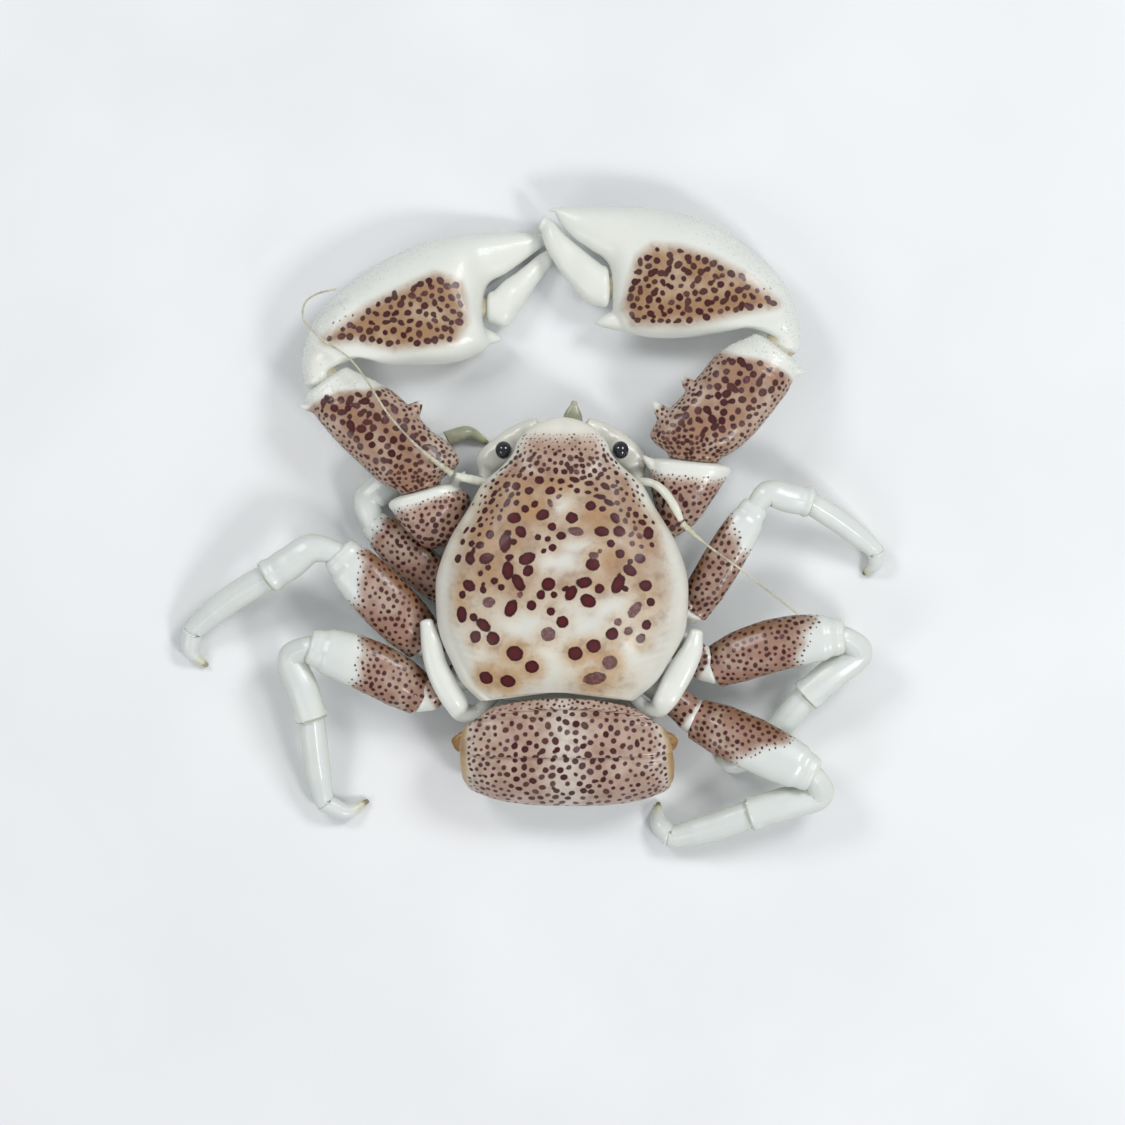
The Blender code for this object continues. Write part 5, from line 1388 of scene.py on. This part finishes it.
def plain_limb(node, rows, ends, count, colour=IVORY):
    """A small plain segment with two shallow rings around it."""
    made, along = leg_piece(node, limb_frames(rows, count), ends, 56)
    raised(made, -0.03 * bell(along, 0.35, 0.04) - 0.03 * bell(along, 0.7, 0.04))
    plain_ground(made, colour, COOL_WHITE)
    finished(made, [node], LOOK["porcelain"])


def make_eye(side, sign):
    """A glossy dark eye."""
    mesh = bmesh.new()
    bmesh.ops.create_uvsphere(mesh, u_segments=56, v_segments=36, radius=EYE_RADIUS)
    for vert in mesh.verts:
        vert.co.x = vert.co.x * 0.92 + sign * EYE[0]
        vert.co.y = vert.co.y + EYE[1]
        vert.co.z = vert.co.z * 0.95 + EYE[2]
    data = bpy.data.meshes.new("eye_%s_cornea" % side)
    mesh.to_mesh(data)
    mesh.free()
    finished(placed(data.name, data), ["eye_" + side], LOOK["eye"])


def make_fifth_legs():
    """The small plain hind legs."""
    for side, rows in FIFTH_LEG.items():
        frames = limb_frames(rows, 100)
        made = object_of("fifth_leg_%s_shell" % side, [rounded(frames, (0.3, 0.4), 72, CLAW_FORM, 0.05, 0.0)])
        raised(made)
        plain_ground(made, WHITE, LEG_WHITE)
        finished(made, ["fifth_leg_" + side], LOOK["porcelain"])


def whip_tree(look):
    """Node tree that turns a path into a ringed whip, thick at its root and thin at its end."""
    tree, given = shape_tree("ringed_whip", "Path", WHIP_SIZES, "Whip")
    even = new_node(tree, "GeometryNodeResampleCurve", mode="LENGTH")
    share = new_node(tree, "GeometryNodeSplineParameter")
    taper = new_node(tree, "ShaderNodeMapRange")
    phase = new_node(tree, "ShaderNodeMath", {1: 2.0 * math.pi * WHIP_RINGS}, operation="MULTIPLY")
    wave = new_node(tree, "ShaderNodeMath", operation="SINE")
    ripple = new_node(tree, "ShaderNodeMapRange", {"From Min": -1.0, "To Min": 0.86, "To Max": 1.06})
    radius = new_node(tree, "ShaderNodeMath", operation="MULTIPLY")
    thick = new_node(tree, "GeometryNodeSetCurveRadius")
    outline = new_node(tree, "GeometryNodeCurvePrimitiveCircle", {"Resolution": 14, "Radius": 1.0})
    tube = new_node(tree, "GeometryNodeCurveToMesh", {"Fill Caps": True})
    joined(tree, [
        (given, "Path", even, "Curve"),
        (given, "Step", even, "Length"),
        (share, "Factor", taper, "Value"),
        (given, "Flare", taper, "From Max"),
        (given, "Root radius", taper, "To Min"),
        (given, "Tip radius", taper, "To Max"),
        (share, "Length", phase, 0),
        (phase, 0, wave, 0),
        (wave, 0, ripple, "Value"),
        (taper, "Result", radius, 0),
        (ripple, "Result", radius, 1),
        (even, "Curve", thick, "Curve"),
        (radius, 0, thick, "Radius"),
        (thick, "Curve", tube, "Curve"),
        (outline, "Curve", tube, "Profile Curve"),
        (radius, 0, tube, "Scale"),
    ])
    made_real(tree, tube, "Mesh", look, "Whip")
    return tree


def make_antenna(side):
    """A long ringed whip along its path."""
    points = through(ANTENNA[side], 60)
    curve = bpy.data.curves.new("whip_path_" + side, "CURVE")
    curve.dimensions = "3D"
    spline = curve.splines.new("POLY")
    spline.points.add(len(points) - 1)
    for point, place in zip(spline.points, points):
        point.co = (*place, 1.0)
    path = placed(curve.name, curve)
    path.modifiers.new("whip", "NODES").node_group = whip_tree(LOOK["whip"])
    data = mesh_of(path)
    bpy.data.objects.remove(path)
    finished(placed("antenna_%s_whip" % side, data), ["antenna_" + side], LOOK["whip"])


def bridge(point, direction, width, depth, reach=0.75):
    """Soft skin across a joint: a short stub through it."""
    start, end = np.array(point) - direction * reach, np.array(point) + direction * reach
    middle = (start + end) / 2.0
    rows = [(*start, width, depth), (*middle, width * 0.86, depth * 0.86), (*end, width, depth)]
    return rounded(limb_frames(rows, 14), (0.1, 0.1), 36, LIMB_FORM)


def make_joint_skin():
    """The soft pale skin inside the hips and claw joints."""
    parts = []
    for name in LEGS:
        leg = leg_points(name)
        long_width = LEGS[name][8][0]
        parts.append(bridge(leg.start, leg.thigh, long_width * 0.5, long_width * 0.36))
    for side in ARM:
        for table, row, share in ((ARM, 0, 0.55), (ARM, -1, 0.55), (CLAW_WRIST, -1, 0.6), (FINGER, 0, 0.6)):
            middle, across, head = row_middle(table[side][row])
            depth = sum(table[side][row][5:]) * share
            parts.append(bridge(middle, head, np.linalg.norm(across) * share, depth, 0.9))
    finished(object_of("joint_skin", parts), [], LOOK["membrane"])


def new_look(name, roughness, coat, scatter):
    """A material with its shader's own values set, and its node tree."""
    look = bpy.data.materials.new(name)
    look.use_nodes = True
    shader = look.node_tree.nodes["Principled BSDF"]
    values = {
        "Roughness": roughness,
        "Specular IOR Level": 0.3,
        "Coat Weight": coat,
        "Coat Roughness": 0.1,
        "Subsurface Weight": scatter,
        "Subsurface Radius": SCATTER_RADIUS,
        "Subsurface Scale": 1.0,
    }
    for socket, value in values.items():
        shader.inputs[socket].default_value = value
    return look, look.node_tree, shader


def textured(tree, kind, values, output):
    """A texture over the object."""
    place = tree.nodes.new("ShaderNodeTexCoord")
    made = new_node(tree, kind, values)
    tree.links.new(place.outputs["Object"], made.inputs["Vector"])
    return made.outputs[output]


def noise(tree, scale, detail, roughness=0.5):
    """Noise over the object, with its scale in waves to the millimetre."""
    values = {"Scale": scale / MM, "Detail": detail, "Roughness": roughness}
    return textured(tree, "ShaderNodeTexNoise", values, "Fac")


def maths(tree, operation, *values):
    """A sum on values, each a number or another node's output."""
    made = new_node(tree, "ShaderNodeMath", operation=operation)
    for slot, value in enumerate(values):
        if isinstance(value, (int, float)):
            made.inputs[slot].default_value = value
        else:
            tree.links.new(value, made.inputs[slot])
    return made.outputs[0]


def ranged(tree, value, low, high, to_low=0.0, to_high=1.0):
    """The value's smooth share between low and high."""
    values = {"From Min": low, "From Max": high, "To Min": to_low, "To Max": to_high}
    made = new_node(tree, "ShaderNodeMapRange", values, interpolation_type="SMOOTHSTEP")
    tree.links.new(value, made.inputs["Value"])
    return made.outputs["Result"]


def mixed(tree, share, first, second):
    """Two colours mixed by a share. Each is red, green and blue from 0 to 255, or another node's output."""
    made = new_node(tree, "ShaderNodeMix", data_type="RGBA")
    tree.links.new(share, made.inputs["Factor"])
    for slot, value in ((6, first), (7, second)):
        if isinstance(value, tuple):
            made.inputs[slot].default_value = (*linear(value), 1.0)
        else:
            tree.links.new(value, made.inputs[slot])
    return made.outputs[2]


def attribute(tree, name, output="Fac"):
    """What a piece keeps for each of its points under the name."""
    return new_node(tree, "ShaderNodeAttribute", attribute_name=name).outputs[output]


def bumped(tree, shader, heights):
    """Bump from noises, each with its height in millimetres."""
    total = None
    for value, height in heights:
        part = maths(tree, "MULTIPLY", value, height * MM)
        total = part if total is None else maths(tree, "ADD", total, part)
    made = new_node(tree, "ShaderNodeBump", {"Distance": 1.0, "Strength": 1.0})
    tree.links.new(total, made.inputs["Height"])
    tree.links.new(made.outputs["Normal"], shader.inputs["Normal"])


def spotted_look(name, roughness, grain, pits, ragged=0.06, coat=0.35):
    """Porcelain shell: the piece's own ground colour, mottled where it isn't white, under maroon spots."""
    look, tree, shader = new_look(name, roughness, coat, 0.02)
    given = attribute(tree, "ground", "Color")
    split = new_node(tree, "ShaderNodeSeparateColor")
    tree.links.new(given, split.inputs["Color"])
    coloured = ranged(tree, split.outputs["Blue"], 0.62, 0.3)
    ground = mixed(tree, ranged(tree, noise(tree, 0.5, 4.0), 0.45, 0.68, 0.0, 0.2), given, CLOUD)
    for scale, low, strength, colour in MOTTLING:
        share = ranged(tree, noise(tree, scale, 3.0), low, low + 0.25, 0.0, strength)
        ground = mixed(tree, maths(tree, "MULTIPLY", share, coloured), ground, colour)
    strength = attribute(tree, "spot_strength")
    wobble = maths(tree, "MULTIPLY_ADD", noise(tree, 2.6, 3.0, 0.6), 2.0 * ragged, -ragged)
    edge = maths(tree, "ADD", attribute(tree, "spot_edge"), wobble)
    inside = maths(tree, "MULTIPLY", ranged(tree, edge, 0.035, -0.04), strength)
    spot = mixed(tree, ranged(tree, edge, -0.08, -0.3), MAROON, RED_MAROON)
    # Pale purple streaks in the fainter spots, partly painted highlight
    streaks_and_sheen = ranged(tree, noise(tree, 4.2, 2.0), 0.45, 0.6)
    faint_and_sheen = maths(tree, "MULTIPLY", streaks_and_sheen, ranged(tree, strength, 0.92, 0.86))
    spot = mixed(tree, faint_and_sheen, spot, SPOT_PURPLE_AND_SHEEN)
    tree.links.new(mixed(tree, inside, ground, spot), shader.inputs["Base Color"])
    waves, fine = noise(tree, 0.9, 3.0), noise(tree, 6.0, 2.0)
    bumped(tree, shader, [(waves, 0.03), (fine, grain), (pitting(tree), pits), (inside, -0.004)])
    return look


def pitting(tree):
    """Fine round pits in the shell."""
    distance = textured(tree, "ShaderNodeTexVoronoi", {"Scale": PITS_PER_MM / MM}, "Distance")
    return ranged(tree, distance, 0.05, 0.4)


def plain_look(name, colour, other, roughness, coat, scatter, grain):
    """A soft or glossy part in one colour that clouds over into another."""
    look, tree, shader = new_look(name, roughness, coat, scatter)
    share = ranged(tree, noise(tree, 0.8, 4.0), 0.35, 0.68)
    tree.links.new(mixed(tree, share, colour, other), shader.inputs["Base Color"])
    bumped(tree, shader, [(noise(tree, 4.0, 3.0), grain)])
    return look


def make_looks():
    """Every finish, by the name that the pieces ask for."""
    looks = {part: spotted_look(*values) for part, values in SPOTTED_LOOKS.items()}
    for part, values in PLAIN_LOOKS.items():
        looks[part] = plain_look(*values)
    return looks


def make_camera():
    """The photograph's view, straight down with the crab's head up."""
    data = bpy.data.cameras.new("photograph view")
    data.sensor_width = SENSOR
    data.lens = SENSOR * (VIEW_DISTANCE - VIEW_LEVEL) / VIEW_WIDTH
    data.clip_start = 0.01
    camera = placed("photograph view", data)
    x, y = MIDDLE[0] + VIEW_MIDDLE[0], MIDDLE[1] + VIEW_MIDDLE[1]
    camera.location = (x * MM, y * MM, VIEW_DISTANCE * MM)
    camera.rotation_euler = (0.0, 0.0, math.pi)
    bpy.context.scene.camera = camera


def make_floor():
    """A plain pale floor under the crab."""
    size = FLOOR_REACH * MM
    corners = [(-size, -size, 0.0), (size, -size, 0.0), (size, size, 0.0), (-size, size, 0.0)]
    data = bpy.data.meshes.new("studio_floor")
    data.from_pydata(corners, [], [(0, 1, 2, 3)])
    look, tree, shader = new_look("pale floor", 0.6, 0.0, 0.0)
    colour = mixed(tree, ranged(tree, noise(tree, 0.05, 3.0), 0.3, 0.7), *FLOOR_GREYS)
    tree.links.new(colour, shader.inputs["Base Color"])
    data.materials.append(look)
    placed("studio_floor", data)


def make_lights():
    """Soft square lamps that face the crab, and an even pale room."""
    for name, (place, size, power_watts) in LAMPS.items():
        data = bpy.data.lights.new(name, "AREA")
        data.size = size * MM
        data.energy = power_watts
        lamp = placed(name, data)
        lamp.location = Vector(place) * MM
        lamp.rotation_euler = (-Vector(place)).to_track_quat("-Z", "Y").to_euler()
    world = bpy.data.worlds.new("studio")
    world.use_nodes = True
    background = world.node_tree.nodes["Background"]
    background.inputs["Color"].default_value = (*ROOM_COLOUR, 1.0)
    background.inputs["Strength"].default_value = ROOM_STRENGTH
    bpy.context.scene.world = world
    bpy.context.scene.view_settings.view_transform = "Standard"


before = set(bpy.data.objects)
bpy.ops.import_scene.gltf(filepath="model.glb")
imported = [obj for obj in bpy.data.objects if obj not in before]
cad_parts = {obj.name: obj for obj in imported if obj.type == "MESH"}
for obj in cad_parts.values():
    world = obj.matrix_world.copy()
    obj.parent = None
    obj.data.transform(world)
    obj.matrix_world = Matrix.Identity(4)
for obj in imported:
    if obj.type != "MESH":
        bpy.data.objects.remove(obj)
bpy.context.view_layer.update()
LOOK = make_looks()
make_camera()
make_floor()
make_lights()
make_shell()
make_tail()
make_tail_core()
make_tail_fan()
make_thorax()
for number, leg in enumerate(LEGS):
    make_leg(leg, SEEDS["legs"] + number)
for side in ("left", "right"):
    make_claw(side, SEEDS[side])
make_face()
make_fifth_legs()
make_joint_skin()
